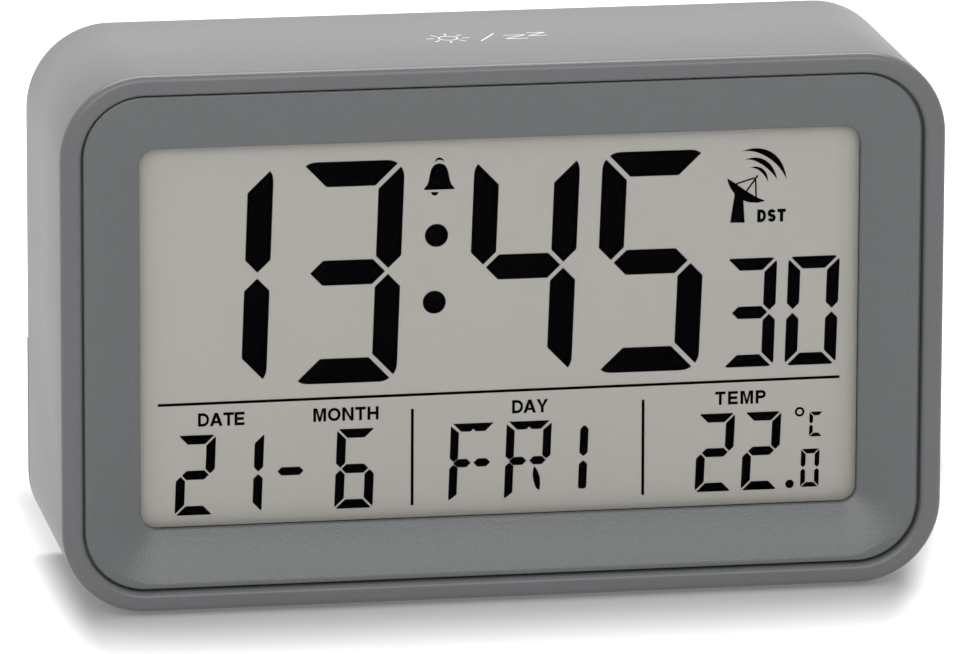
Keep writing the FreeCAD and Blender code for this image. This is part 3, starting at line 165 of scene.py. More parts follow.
# the camera stands a little left of the clock and looks slightly down on it
TURN, DIP, LEAN = math.radians(9.870), math.radians(13.453), math.radians(0.201)
ahead = Vector((math.sin(TURN) * math.cos(DIP), math.cos(TURN) * math.cos(DIP), -math.sin(DIP)))
level = Vector((math.cos(TURN), -math.sin(TURN), 0.0))
upright = level.cross(ahead)
across = math.cos(LEAN) * level + math.sin(LEAN) * upright
upwards = math.cos(LEAN) * upright - math.sin(LEAN) * level
CAMERA_PLACE = (-0.27676, -1.58817, 0.42810)
deselect()
bpy.ops.object.camera_add()
camera = bpy.context.object
camera.matrix_world = (Matrix.Translation(CAMERA_PLACE)
                       @ Matrix((across, upwards, -ahead)).transposed().to_4x4())
camera.data.sensor_fit = "HORIZONTAL"
camera.data.sensor_width = 36.0
camera.data.lens = 366.2
bpy.context.scene.camera = camera
bpy.context.scene.view_settings.view_transform = "Standard"


# ------------------------------
# Housing: a sleeve with rounded corners, injection moulded in grey ABS with a
# satin spark-eroded skin. Its front ends in a raised rim round the bezel, and
# its back edge is stepped where the rear cover's foot reaches right across.
CASE_W, CASE_H, CASE_R = 150.0, 92.0, 14.3
CASE_MID = 46.8                        # height of the case's middle above the table
FRONT, BACK = -23.0, 22.0
RIM, RIM_DEPTH, WALL = 3.6, 3.2, 2.2
STEP_TOP, STEP_FRONT = 38.6, 20.8
CORNER_STEPS = 16
SMOOTH_BELOW = math.radians(35)        # faces that meet at a smaller angle shade as one surface


def choose(piece):
    """Lets go of everything but one piece, which operators then act on."""
    deselect()
    piece.select_set(True)
    bpy.context.view_layer.objects.active = piece


def standing_plate(name, width, height, corner, y, x=0.0, z=CASE_MID, steps=CORNER_STEPS):
    """An upright face with rounded corners (mm), left in edit mode and selected."""
    deselect()
    bpy.ops.mesh.primitive_plane_add(size=1, location=(x * MM, y * MM, z * MM),
                                     rotation=(math.radians(90), 0, 0))
    plate = bpy.context.object
    plate.name = plate.data.name = name
    plate.scale = (width * MM, height * MM, 1)
    bpy.ops.object.transform_apply(location=True, rotation=True, scale=True)
    bpy.ops.object.mode_set(mode="EDIT")
    bpy.ops.mesh.select_all(action="SELECT")
    bpy.ops.mesh.bevel(offset=corner * MM, segments=steps, affect="VERTICES")
    bpy.ops.mesh.select_mode(type="FACE")
    bpy.ops.mesh.select_all(action="SELECT")
    return plate


def pick(kind, test):
    """Selects the vertices, edges or faces whose every corner passes test(x, y, z), in mm."""
    bpy.ops.mesh.select_mode(type=kind)
    bpy.ops.mesh.select_all(action="DESELECT")
    mesh = bmesh.from_edit_mesh(bpy.context.object.data)
    for part in {"VERT": mesh.verts, "EDGE": mesh.edges, "FACE": mesh.faces}[kind]:
        corners = [part] if kind == "VERT" else part.verts
        if all(test(*(v.co / MM)) for v in corners):
            part.select_set(True)
    bmesh.update_edit_mesh(bpy.context.object.data)


def round_edges(test, radius, steps):
    """Rounds the edges whose corners pass a test, to a radius in mm."""
    pick("EDGE", test)
    bpy.ops.mesh.bevel(offset=radius * MM, segments=steps, affect="EDGES")


def beyond(x, z, width, height, corner):
    """How far (mm) a point is outside an upright rounded rectangle; less than zero inside it."""
    dx = abs(x) - width / 2 + corner
    dz = abs(z - CASE_MID) - height / 2 + corner
    return math.hypot(max(dx, 0), max(dz, 0)) + min(max(dx, dz), 0) - corner


def push(depth):
    """Extrudes what is selected along the clock's depth (mm, towards the back)."""
    bpy.ops.mesh.extrude_region_move(TRANSFORM_OT_translate={"value": (0, depth * MM, 0)})


def at(value, target):
    """Whether two measures are the same, to a hundredth of a millimetre."""
    return abs(value - target) < 0.01


def finish(piece, body, material, slot, *nodes):
    """Closes the modelling of a piece: gives it its material, says what carries it and what it
    replaces; its slot is not used.
    """
    if bpy.context.mode != "OBJECT":
        bpy.ops.mesh.select_all(action="SELECT")
        bpy.ops.mesh.normals_make_consistent(inside=False)
    choose(piece)
    bpy.ops.object.shade_smooth_by_angle(angle=SMOOTH_BELOW)
    piece.data.materials.clear()
    piece.data.materials.append(material)
    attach(piece, body)
    if nodes:
        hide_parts(*nodes)


def apply_modifier(piece, kind, **settings):
    """Puts one modifier on a piece and applies it."""
    choose(piece)
    modifier = piece.modifiers.new(kind.title(), kind)
    for name, value in settings.items():
        setattr(modifier, name, value)
    bpy.ops.object.modifier_apply(modifier=modifier.name)


def subtract(piece, cutter):
    """Cuts a shape out of a piece and throws the shape away."""
    apply_modifier(piece, "BOOLEAN", operation="DIFFERENCE", object=cutter, solver="EXACT")
    bpy.data.objects.remove(cutter)


def cut_away(piece, x, y, z, width, depth, height):
    """Cuts a block out of a piece: its middle and its size, in mm."""
    deselect()
    bpy.ops.mesh.primitive_cube_add(size=1, location=(x * MM, y * MM, z * MM),
                                    scale=(width * MM, depth * MM, height * MM))
    subtract(piece, bpy.context.object)


def moulded_plastic(name, tone, rough, grain_mm, relief_mm):
    """A moulded or cast surface: a fine matt grain, slightly cloudy colour and soft highlights."""
    material, tree, place = new_material(name)
    cloud = node(tree, "TexNoise", {"Vector": place, "Scale": 1 / (28 * MM)})
    grain = node(tree, "TexNoise", {"Vector": place, "Scale": 1 / (grain_mm * MM),
                                    "Roughness": 0.6})
    speck = node(tree, "MapRange", {"Value": grain, "From Min": 0.3, "From Max": 0.7,
                                    "To Min": 0.955, "To Max": 1.045})
    flow = node(tree, "MapRange", {"Value": cloud, "To Min": 0.98, "To Max": 1.02})
    shade = node(tree, "Math", {0: speck, 1: flow}, operation="MULTIPLY")
    paint = node(tree, "VectorMath", {0: tone, "Scale": shade}, operation="SCALE")
    gloss = node(tree, "MapRange", {"Value": grain, "To Min": rough - 0.06,
                                    "To Max": rough + 0.06})
    relief = node(tree, "Bump", {"Height": grain, "Strength": 0.5, "Distance": relief_mm * MM})
    node(tree, "OutputMaterial", {0: node(tree, "BsdfPrincipled", {
        "Base Color": paint, "IOR": 1.54, "Roughness": gloss, "Normal": relief})})
    return material


# satin grey: a soft sheen over a grain of a third of a millimetre
satin_case = moulded_plastic("satin_grey_abs", "#5f6062", 0.30, 0.32, 0.012)

housing = standing_plate("housing_sleeve", CASE_W, CASE_H, CASE_R, FRONT)
push(BACK - FRONT)
# the rear opening: the wall is left, and its inner edge runs forward to the rim's lip
pick("FACE", lambda x, y, z: at(y, BACK))
bpy.ops.mesh.inset(thickness=WALL * MM)
bpy.ops.mesh.delete(type="FACE")
pick("EDGE", lambda x, y, z: at(y, BACK) and at(beyond(x, z, CASE_W, CASE_H, CASE_R), -WALL))
push(FRONT + RIM_DEPTH - BACK)
# the front opening: the rim, its inner wall, and the step behind the lip
pick("FACE", lambda x, y, z: at(y, FRONT))
bpy.ops.mesh.inset(thickness=RIM * MM)
push(RIM_DEPTH)
bpy.ops.mesh.delete(type="FACE")
pick("EDGE", lambda x, y, z: at(y, FRONT + RIM_DEPTH))
bpy.ops.mesh.bridge_edge_loops()
# the rim's rounded outer edge, the inner one that falls into the groove, and the back edge
for edge_y, inset, radius, steps in ((FRONT, 0.0, 1.3, 6), (FRONT, RIM, 1.15, 7),
                                     (BACK, 0.0, 0.5, 3)):
    round_edges(lambda x, y, z: at(y, edge_y) and at(beyond(x, z, CASE_W, CASE_H, CASE_R), -inset),
                radius, steps)
# the step in the back edge, cut by a block that reaches past the sleeve on its other sides
cut_away(housing, 0, STEP_FRONT + 5, STEP_TOP - 30, 200, 10, 60)
# the flat top is a hair lower than the corners, which leaves room for the ink on it
bpy.ops.object.mode_set(mode="EDIT")
pick("VERT", lambda x, y, z: z > CASE_MID + CASE_H / 2 - 0.001)
bpy.ops.transform.translate(value=(0, 0, -0.02 * MM))
finish(housing, "case", satin_case, "case_plastic", "housing")


# ------------------------------
# Front bezel: an ABS frame that drops into the rim and leaves a narrow dark
# groove round it. It is moulded with a shallow dish: the face slopes back to
# the window's edge, and a flange behind the lip holds it in.
BEZEL_FRONT, LIP_Y, FLANGE_Y, BEZEL_BACK, LENS_FRONT = -22.2, -20.9, -19.8, -18.2, -17.6
# each outline: width, height, corner radius and level
FACE_EDGE = (142.0, 84.3, 10.3, BEZEL_FRONT)
DIP_EDGE = (140.1, 82.8, 11.65, BEZEL_FRONT)
WINDOW_EDGE = (122.4, 65.1, 2.8, -18.8)
FLANGE_EDGE = (144.8, 86.8, 11.7, FLANGE_Y)
LIP_EDGE = (142.7, 84.7, 10.65, LIP_Y)


def on(outline, x, y, z):
    """Whether a point (mm) lies on an outline."""
    return at(y, outline[3]) and at(beyond(x, z, *outline[:3]), 0)


def skin(name, outlines):
    """A ring-shaped piece stretched over upright outlines in turn, left in edit mode.

    Outlines that lie in one plane can't be bridged without crossed faces, so the faces are laid
    one by one."""
    mesh = bmesh.new()
    rows = []
    for width, height, corner, level in outlines:
        row = []
        for step in range(4 * (CORNER_STEPS + 1)):
            quarter, part = divmod(step, CORNER_STEPS + 1)
            turn = math.pi / 2 * (quarter + part / CORNER_STEPS)
            side_x, side_z = ((1, 1), (-1, 1), (-1, -1), (1, -1))[quarter]
            x = side_x * (width / 2 - corner) + corner * math.cos(turn)
            z = CASE_MID + side_z * (height / 2 - corner) + corner * math.sin(turn)
            row.append(mesh.verts.new((x * MM, level * MM, z * MM)))
        rows.append(row)
    for one, two in zip(rows, rows[1:] + rows[:1]):
        for i in range(len(one)):
            mesh.faces.new((one[i - 1], one[i], two[i], two[i - 1]))
    shape = bpy.data.meshes.new(name)
    mesh.to_mesh(shape)
    mesh.free()
    piece = bpy.data.objects.new(name, shape)
    bpy.context.scene.collection.objects.link(piece)
    choose(piece)
    bpy.ops.object.mode_set(mode="EDIT")
    bpy.ops.mesh.select_all(action="SELECT")
    bpy.ops.mesh.normals_make_consistent(inside=False)
    return piece


def level_with(outline, y):
    """The same outline at another level."""
    return (*outline[:3], y)


# the window's edge runs on to the lens as a thin skin, which closes the gap between them
bezel = skin("front_bezel", [
    DIP_EDGE, FACE_EDGE, level_with(FACE_EDGE, LIP_Y), LIP_EDGE, level_with(LIP_EDGE, FLANGE_Y),
    FLANGE_EDGE, level_with(FLANGE_EDGE, BEZEL_BACK), level_with(WINDOW_EDGE, BEZEL_BACK),
    level_with(WINDOW_EDGE, LENS_FRONT), level_with(WINDOW_EDGE, -18.0), WINDOW_EDGE])
for outline, radius, steps in ((FACE_EDGE, 0.35, 3), (DIP_EDGE, 0.25, 2), (WINDOW_EDGE, 0.3, 3)):
    round_edges(lambda x, y, z: on(outline, x, y, z), radius, steps)
# the face sits a hair high and to the left in the rim, as far as its clearance lets it
pick("VERT", lambda x, y, z: y < BEZEL_FRONT + 0.5)
bpy.ops.transform.translate(value=(-0.12 * MM, 0, 0.1 * MM))
# the same ABS from a coarser mould: its grain is half a millimetre, and shows
grained_bezel = moulded_plastic("grained_bezel_abs", "#5c5f60", 0.30, 0.5, 0.12)
finish(bezel, "case", grained_bezel, "case_plastic", "front_panel")


# ------------------------------
# Display lens: a clear acrylic sheet behind the bezel's window, polished and
# coated against reflections, so that it shines only where it is seen at a slant.
LENS_W, LENS_H, LENS_THICK, LENS_MID = 125.2, 70.8, 1.12, 46.35

clear_lens, tree, place = new_material("coated_clear_acrylic")
wave = node(tree, "TexNoise", {"Vector": place, "Scale": 1 / (18 * MM)})
ripple = node(tree, "Bump", {"Height": wave, "Strength": 0.1, "Distance": 0.01 * MM})
fresnel = node(tree, "LayerWeight", {"Blend": 0.08, "Normal": ripple}).outputs["Fresnel"]
share = node(tree, "MapRange", {"Value": fresnel, "To Max": 0.5})
sheer = node(tree, "BsdfTransparent", {"Color": "#fdfdfd"})
shine = node(tree, "BsdfGlossy", {"Color": "#ffffff", "Roughness": 0.06, "Normal": ripple})
node(tree, "OutputMaterial", {0: node(tree, "MixShader", {0: share, 1: sheer, 2: shine})})

lens = standing_plate("display_lens_sheet", LENS_W, LENS_H, 0.6, LENS_FRONT, z=LENS_MID, steps=3)
push(LENS_THICK)
round_edges(lambda x, y, z: at(y, LENS_FRONT), 0.12, 2)
finish(lens, "case", clear_lens, "clear_plastic", "display_lens")


# ------------------------------
# LCD face: the front polariser of the display, a warm grey matt film bonded
# to the glass, in the shade of the window's edge.
FACE_W, FACE_H, FACE_THICK, FACE_MID, FACE_Y = 123.6, 67.1, 0.2, 47.15, -16.40

lcd_film, tree, place = new_material("grey_polariser_film")
weave = mottled(tree, place, 0.25, "#aeaba5", "#b4b1ab", 1.0)
drift = mottled(tree, place, 40, weave, "#b1aea8", 1.0)
node(tree, "OutputMaterial", {0: node(tree, "BsdfPrincipled", {
    "Base Color": drift, "Roughness": 0.6, "Specular IOR Level": 0.05})})

lcd_face = standing_plate("lcd_face", FACE_W, FACE_H, 0.4, FACE_Y, z=FACE_MID, steps=2)
push(FACE_THICK)
round_edges(lambda x, y, z: at(y, FACE_Y), 0.05, 1)
finish(lcd_face, "case", lcd_film, "polariser_film", "lcd_front_polariser")


# ------------------------------
# Display characters: the dark parts of the liquid crystal, which are figures
# with mitred gaps between their bars, words, signs and rules, all flat and black.
CRYSTAL_Y, CRYSTAL_THICK = FACE_Y - 0.012, 0.02
SHIFT_X, SHIFT_Z = 0.66, -1.13         # from the drawing's own zero to the clock's
SEGMENTS = {"0": "abcdef", "1": "bc", "2": "abged", "3": "abgcd", "4": "fgbc",
            "5": "afgcd", "6": "afgedc", "C": "afed"}

# dead black, without any shine, where the crystal stops the light
dark_crystal, tree, place = new_material("black_liquid_crystal")
depth = mottled(tree, place, 3, "#010102", "#040405")
node(tree, "OutputMaterial", {0: node(tree, "BsdfPrincipled", {
    "Base Color": depth, "Roughness": 0.7, "Specular IOR Level": 0.0})})


def bow(x, z, wide, high, start, stop, count=10):
    """Points on part of an ellipse, by angle in degrees."""
    return [(x + wide * math.cos(math.radians(start + (stop - start) * i / count)),
             z + high * math.sin(math.radians(start + (stop - start) * i / count)))
            for i in range(count + 1)]


def ring(x, z, outer, inner=0.0, count=48):
    """A disc, or a ring where it has an inner radius, as outlines (mm)."""
    return [bow(x, z, radius, radius, 0, 360, count)[:-1] for radius in (outer, inner) if radius]


def pen_stroke(spine, widths):
    """The outline of a pen's stroke along a line of points, with its width at each of them."""
    spine = [Vector(spot) for spot in spine]
    outer, inner = [], []
    for i, (spot, width) in enumerate(zip(spine, widths)):
        run = (spine[min(i + 1, len(spine) - 1)] - spine[max(i - 1, 0)]).normalized()
        side = Vector((-run.y, run.x)) * width / 2
        outer.append(tuple(spot + side))
        if width > 0.001:              # a stroke that tapers to nothing ends in one point
            inner.append(tuple(spot - side))
    return outer + inner[::-1]


def stroke_line(x0, z0, x1, z1, width):
    """A thin straight bar from one point to another (mm)."""
    return pen_stroke([(x0, z0), (x1, z1)], [width, width])


def seven_segments(lit, left, bottom, width, height, stroke, gap, corner, lean):
    """The outlines of a figure's lit bars (mm): left is its edge at mid height."""
    middle, half = height / 2, stroke / 2
    mitre, tip = gap / math.sqrt(2), 0.62 * gap
    split = math.degrees(math.asin(gap / (2 * corner)))
    # the rounded corner at the top right is shared by the top bar and the upper right one
    turn = (width - corner, height - corner, corner, corner)
    top_right = bow(*turn, 90, 45 + split, 4)
    top_left = [(width - u, v) for u, v in reversed(top_right)]
    top = [(stroke + mitre, height - stroke)] + top_left + top_right + [
        (width - stroke - mitre, height - stroke)]
    upper_right = bow(*turn, 45 - split, 0, 4) + [
        (width, middle + tip + half), (width - half, middle + tip),
        (width - stroke, middle + tip + half), (width - stroke, height - stroke - mitre)]
    centre = [(half + tip, middle), (stroke + tip, middle + half),
              (width - stroke - tip, middle + half), (width - half - tip, middle),
              (width - stroke - tip, middle - half), (stroke + tip, middle - half)]
    shapes = {
        "a": top, "b": upper_right, "g": centre,
        "c": [(u, height - v) for u, v in upper_right],
        "d": [(u, height - v) for u, v in top],
        "e": [(width - u, height - v) for u, v in upper_right],
        "f": [(width - u, v) for u, v in upper_right],
    }
    return [[(left + u + lean * (v - middle), bottom + v) for u, v in shapes[bar]]
            for bar in lit]


def figures(text, bottom, lefts, size):
    """The lit bars of figures of one size in a row, each at its own left edge."""
    return [bar for figure, left in zip(text, lefts)
            for bar in seven_segments(SEGMENTS[figure], left, bottom, *size)]


def printed_shape(name, outlines, thick):
    """Fills flat outlines (mm) and gives them a thickness; the mesh still lies flat."""
    drawing = bpy.data.curves.new(name, "CURVE")
    drawing.dimensions = "2D"
    drawing.fill_mode = "BOTH"
    drawing.extrude = thick / 2
    for outline in outlines:
        line = drawing.splines.new("POLY")
        line.points.add(len(outline) - 1)
        for point, (u, v) in zip(line.points, outline):
            point.co = (u, v, 0, 1)
        line.use_cyclic_u = True
    shape = bpy.data.objects.new(name, drawing)
    bpy.context.scene.collection.objects.link(shape)
    choose(shape)
    bpy.ops.object.convert(target="MESH")
    return bpy.context.object


def put(shape, turn, x, y, z):
    """Turns a flat drawing in mm (degrees about each axis) and puts it in its place."""
    choose(shape)
    shape.rotation_euler = [math.radians(angle) for angle in turn]
    shape.scale = (MM, MM, MM)
    shape.location = (x * MM, y * MM, z * MM)
    bpy.ops.object.transform_apply(location=True, rotation=True, scale=True)


def joined(first, *others):
    """Joins pieces into the first one and opens it for editing."""
    choose(first)
    for piece in others:
        piece.select_set(True)
    bpy.ops.object.join()
    bpy.ops.object.mode_set(mode="EDIT")
    return first


def s_outline(width, pen):
    """The outline of an S one unit high: a pen of constant width along two bows."""
    high, wide = (1 - pen) / 4, (width - pen) / 2
    spine = (bow(width / 2, 1 - pen / 2 - high, wide, high, 15, 270, 14)
             + bow(width / 2, pen / 2 + high, wide, high, 90, -165, 14)[1:])
    return pen_stroke(spine, [pen] * len(spine))


def bold_letter(sign, p, narrow):
    """The width and the outlines of a capital one unit high, drawn with a pen of width p."""
    w = {"D": 0.82, "A": 0.95, "T": 0.78, "E": 0.74, "M": 0.95, "O": 0.95, "N": 0.84,
         "H": 0.82, "Y": 0.88, "P": 0.76, "S": 0.76}[sign] * narrow
    c, r = w / 2, 0.45 * narrow
    low, mid_low, mid_high, high = p, 0.5 - p / 2, 0.5 + p / 2, 1 - p
    # the foot of an A, the height of its bar's lower and upper edge, and the run of its side
    leg, bar, over, rise = 1.12 * p, 0.21, 0.21 + 0.85 * p, c - 0.56 * p
    return w, {
        "E": [[(0, 0), (w, 0), (w, low), (p, low), (p, mid_low), (0.93 * w, mid_low),
               (0.93 * w, mid_high), (p, mid_high), (p, high), (w, high), (w, 1), (0, 1)]],
        "T": [[(c - p / 2, 0), (c + p / 2, 0), (c + p / 2, high), (w, high), (w, 1), (0, 1),
               (0, high), (c - p / 2, high)]],
        "H": [[(0, 0), (p, 0), (p, mid_low), (w - p, mid_low), (w - p, 0), (w, 0), (w, 1),
               (w - p, 1), (w - p, mid_high), (p, mid_high), (p, 1), (0, 1)]],
        "N": [[(0, 0), (p, 0), (p, 0.7), (w - 1.1 * p, 0), (w, 0), (w, 1), (w - p, 1),
               (w - p, 0.3), (1.1 * p, 1), (0, 1)]],
        "M": [[(0, 0), (p, 0), (p, 0.76), (c - 0.4 * p, 0), (c + 0.4 * p, 0), (w - p, 0.76),
               (w - p, 0), (w, 0), (w, 1), (w - 1.4 * p, 1), (c, 0.32), (1.4 * p, 1), (0, 1)]],
        "Y": [[(c - p / 2, 0), (c + p / 2, 0), (c + p / 2, 0.42), (w, 1), (w - 1.2 * p, 1),
               (c, 0.57), (1.2 * p, 1), (0, 1), (c - p / 2, 0.42)]],
        "A": [[(0, 0), (leg, 0), (leg + rise * bar, bar), (w - leg - rise * bar, bar),
               (w - leg, 0), (w, 0), (c + 0.56 * p, 1), (c - 0.56 * p, 1)],
              [(leg + rise * over, over), (w - leg - rise * over, over), (c, (c - leg) / rise)]],
        "O": [bow(c, 0.5, c, 0.5, 0, 345, 23), bow(c, 0.5, c - p, 0.5 - p, 0, 345, 23)],
        "D": [[(0, 0), *bow(w - r, 0.5, r, 0.5, -90, 90), (0, 1)],
              [(p, low), *bow(w - r, 0.5, r - 0.9 * p, 0.5 - p, -90, 90), (p, high)]],
        "P": [[(0, 0), (p, 0), (p, 0.38), *bow(w - 0.31, 0.69, 0.31, 0.31, -90, 90), (0, 1)],
              [(p, 0.38 + p), *bow(w - 0.31, 0.69, 0.31 - p, 0.31 - p, -90, 90), (p, high)]],
        "S": [s_outline(w, p)],
    }[sign]


def bold_word(text, left, right, base, cap, pen=0.21, narrow=1.0):
    """The outlines of a word in bold capitals (mm), set between two places on its line."""
    letters = [bold_letter(sign, pen, narrow) for sign in text]
    natural = sum(width for width, _ in letters) * cap
    space = (right - left - natural) / (len(letters) - 1)
    outlines, x = [], left
    for width, loops in letters:
        outlines += [[(x + u * cap, base + v * cap) for u, v in loop] for loop in loops]
        x += width * cap + space
    return outlines


def letter_bars(lit, left):
    """The outlines of a weekday letter's lit bars (mm), of the fourteen that its cell has: left
    is its edge at the middle bars."""
    wide, high, mid, bar, bottom, lean = 7.72, 13.28, 6.41, 1.43, 17.72, 0.035
    half, centre = bar / 2, wide / 2
    upper = [(0, mid + 0.85), (0, high - 0.4), (bar, high - 0.45 - 0.8 * bar), (bar, mid + 0.85),
             (half, mid + 0.22)]
    bars = {
        "top": [(0.38, high), (wide - 0.38, high), (wide - 0.38 - bar, high - bar),
                (centre + 0.45, high - bar), (centre, high - bar + 0.45),
                (centre - 0.45, high - bar), (0.38 + bar, high - bar)],
        "upper left": upper,
        "upper right": [(wide - u, v) for u, v in upper],
        "lower left": [(half, mid - 0.22), (bar, mid - 0.85), (bar, 1.0), (0.15, 0), (0, 0.3),
                       (0, mid - 0.85)],
        "upper centre": [(centre - half, 7.45), (centre - half, 11.5), (centre - 0.2, 12.1),
                         (centre + 0.2, 12.1), (centre + half, 11.5), (centre + half, 7.45),
                         (centre, 6.8)],
        "lower centre": [(centre, 6.08), (centre + half, 5.45), (centre + half, 1.45),
                         (centre + 0.35, 1.15), (centre - 0.35, 1.15), (centre - half, 1.45),
                         (centre - half, 5.45)],
        "slanted leg": [(5.0, 5.45), (5.6, 4.6), (6.06, 3.4), (6.15, 2.2), (6.04, 1.15),
                        (5.44, 1.6), (5.03, 2.6), (4.8, 3.7), (4.8, 4.6)],
    }
    for name, start, stop in (("mid left", 0.62, centre - 0.22),
                              ("mid right", centre + 0.22, wide - 0.75)):
        bars[name] = [(start, mid), (start + 0.72, mid + half), (stop - 0.72, mid + half),
                      (stop, mid), (stop - 0.72, mid - half), (start + 0.72, mid - half)]
    return [[(left + u + lean * (v - mid), bottom + v) for u, v in bars[name]] for name in lit]


def crescent(points, thick, skew=1.0):
    """A curved stroke through four points (mm), pointed at both ends; skew moves its thickest
    place towards the last point."""
    steps, spine, widths = 12, [], []
    for i in range(steps + 1):
        t = 3 * i / steps
        # Lagrange's cubic through the points at t = 0, 1, 2 and 3
        weights = (-(t - 1) * (t - 2) * (t - 3) / 6, t * (t - 2) * (t - 3) / 2,
                   -t * (t - 1) * (t - 3) / 2, t * (t - 1) * (t - 2) / 6)
        spine.append([sum(w * part for w, part in zip(weights, parts)) for parts in zip(*points)])
        widths.append(thick * math.sin(math.pi * (i / steps) ** skew))
    return pen_stroke(spine, widths)


# places on the display are in mm from its middle and from the table, but for SHIFT_X and SHIFT_Z;
# each size of figure has a width, height, stroke, gap, corner radius and lean
HOURS, SECONDS = (18.0, 38.07, 4.3, 0.8, 3.0, 0.0373), (8.84, 18.85, 2.13, 0.5, 1.1, 0.028)
DATE, DEGREES = (6.55, 13.8, 1.58, 0.32, 0.7, 0.04), (6.4, 13.58, 1.53, 0.31, 0.7, 0.04)
TENTHS, UNIT = (3.2, 6.65, 0.82, 0.18, 0.34, 0.02), (2.35, 4.3, 0.64, 0.15, 0.24, 0.02)
dash = [(-38.42, 23.92), (-37.7, 24.64), (-34.66, 24.64), (-33.94, 23.92), (-34.66, 23.2),
        (-37.7, 23.2)]
LEFT_BARS = ("top", "upper left", "mid left", "mid right", "lower left")
bell_side = [(2.58, 71.5), (2.5, 71.85), (2.05, 72.35), (1.78, 73.1), (1.62, 74.1), (1.35, 75.1),
             (0.85, 75.75), (0.0, 76.02)]
bell = [(-10.95 + u, z) for u, z in bell_side] + [(-10.95 - u, z) for u, z in
                                                  reversed(bell_side[:-1])]
bell_cap = [(-11.75, 76.15), (-11.35, 76.5), (-10.9, 76.62), (-10.45, 76.5), (-10.05, 76.15),
            (-10.3, 76.72), (-10.75, 76.98), (-11.15, 76.98), (-11.5, 76.72)]
bell_tongue = [(-12.4, 71.1), (-11.05, 71.1), (-11.25, 70.68), (-11.72, 70.45), (-12.2, 70.68)]
characters = [printed_shape(name, outlines, CRYSTAL_THICK) for name, outlines in (
    ("lcd_hours_minutes", figures("1345", 38.8, (-57.6, -35.47, -5.65, 16.16), HOURS)
     + ring(-11.4, 63.65, 1.97) + ring(-11.75, 52.17, 1.97)),
    ("lcd_seconds", figures("30", 38.95, (37.79, 48.56), SECONDS)),
    ("lcd_date", figures("21", 16.95, (-55.6, -47.41), DATE)
     + figures("6", 17.05, (-28.5,), DATE) + [dash]),
    ("lcd_temperature", figures("22", 17.45, (33.26, 41.23), DEGREES)
     + figures("0", 17.62, (51.3,), TENTHS) + figures("C", 26.4, (52.72,), UNIT)
     + ring(49.42, 18.24, 0.74) + ring(51.03, 30.78, 0.84, 0.46)),
    ("lcd_weekday", letter_bars(LEFT_BARS, -9.09)
     + letter_bars((*LEFT_BARS, "upper right", "slanted leg"), 0.45)
     + letter_bars(("upper centre", "lower centre"), 9.96)),
    ("lcd_alarm_bell", [bell, bell_cap, bell_tongue]))]

# the radio mast's parts overlap, so each is filled by itself
dish = [(38.15, 71.75), (39.68, 70.73), (41.26, 69.54), (43.37, 68.22), (44.75, 67.62),
        (43.4, 67.32), (41.9, 67.45), (40.6, 67.95), (39.5, 68.85), (38.65, 70.1), (38.3, 71.0)]
tower = [(39.45, 69.0), (40.95, 67.9), (41.22, 63.98), (38.72, 64.05)]
struts = [stroke_line(39.68, 70.7, 42.85, 71.65, 0.27), stroke_line(41.4, 69.3, 43.4, 72.05, 0.3),
          stroke_line(43.15, 68.2, 43.0, 71.6, 0.27)]
waves = [crescent([(41.88, 73.32), (43.15, 73.38), (44.38, 72.6), (45.15, 70.85)], 0.6, 1.4),
         crescent([(41.13, 74.8), (42.95, 74.85), (44.98, 73.8), (46.75, 71.2)], 0.94, 1.4),
         crescent([(40.6, 76.2), (43.1, 76.4), (46.1, 75.0), (48.35, 71.2)], 1.1, 1.4)]
characters.append(joined(*[printed_shape("lcd_radio_mast", [part], CRYSTAL_THICK)
                           for part in (dish, tower, *struts, *waves)]))

rules = [stroke_line(-58.65, 36.12, 57.85, 36.65, 0.48),
         stroke_line(-15.46, 17.15, -15.44, 33.87, 0.49),
         stroke_line(24.09, 17.35, 24.04, 33.93, 0.49)]
characters.append(printed_shape("lcd_rules", rules, CRYSTAL_THICK))
words = bold_word("DST", 43.36, 48.26, 63.95, 2.2, 0.26, 0.84)
for text, left, right, base in (
        ("DATE", -51.84, -43.95, 32.2), ("MONTH", -32.3, -21.2, 32.28),
        ("DAY", 1.58, 7.76, 32.42), ("TEMP", 36.42, 45.16, 32.52)):
    words += bold_word(text, left, right, base, 2.3)
characters.append(printed_shape("lcd_words", words, CRYSTAL_THICK))
for shape in characters:
    put(shape, (90, 0, 0), SHIFT_X, CRYSTAL_Y, SHIFT_Z)
    finish(shape, "case", dark_crystal, "polariser_film")


# ------------------------------
# Display stack behind the face: two panes of glass with the liquid crystal
# between them, a rear film, and an acrylic guide that spreads the light of
# two LEDs, all held in a white moulded tray; a zebra strip feeds the glass.
def dress_nodes(material, *names):
    """Gives a material to parts whose shape is used as it comes."""
    for name in names:
        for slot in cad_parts[name].material_slots:
            slot.material = material


def varied(tree, tone, pattern, low, high):
    """A colour that a pattern makes darker and lighter, between two shares of its brightness."""
    share = node(tree, "MapRange", {"Value": pattern, "To Min": low, "To Max": high})
    return node(tree, "VectorMath", {0: tone, "Scale": share}, operation="SCALE")


def clear_sheet(name, tone, rough, haze_mm):
    """Clear glass or acrylic: see-through with a faint tint, and a slow waviness in the shine."""
    material, tree, place = new_material(name)
    haze = node(tree, "TexNoise", {"Vector": place, "Scale": 1 / (haze_mm * MM), "Detail": 1.0})
    wave = node(tree, "Bump", {"Height": haze, "Strength": 0.2, "Distance": 0.01 * MM})
    node(tree, "OutputMaterial", {0: node(tree, "BsdfPrincipled", {
        "Base Color": varied(tree, tone, haze, 0.96, 1.0), "Roughness": rough, "IOR": 1.5,
        "Transmission Weight": 0.92, "Normal": wave})})
    return material


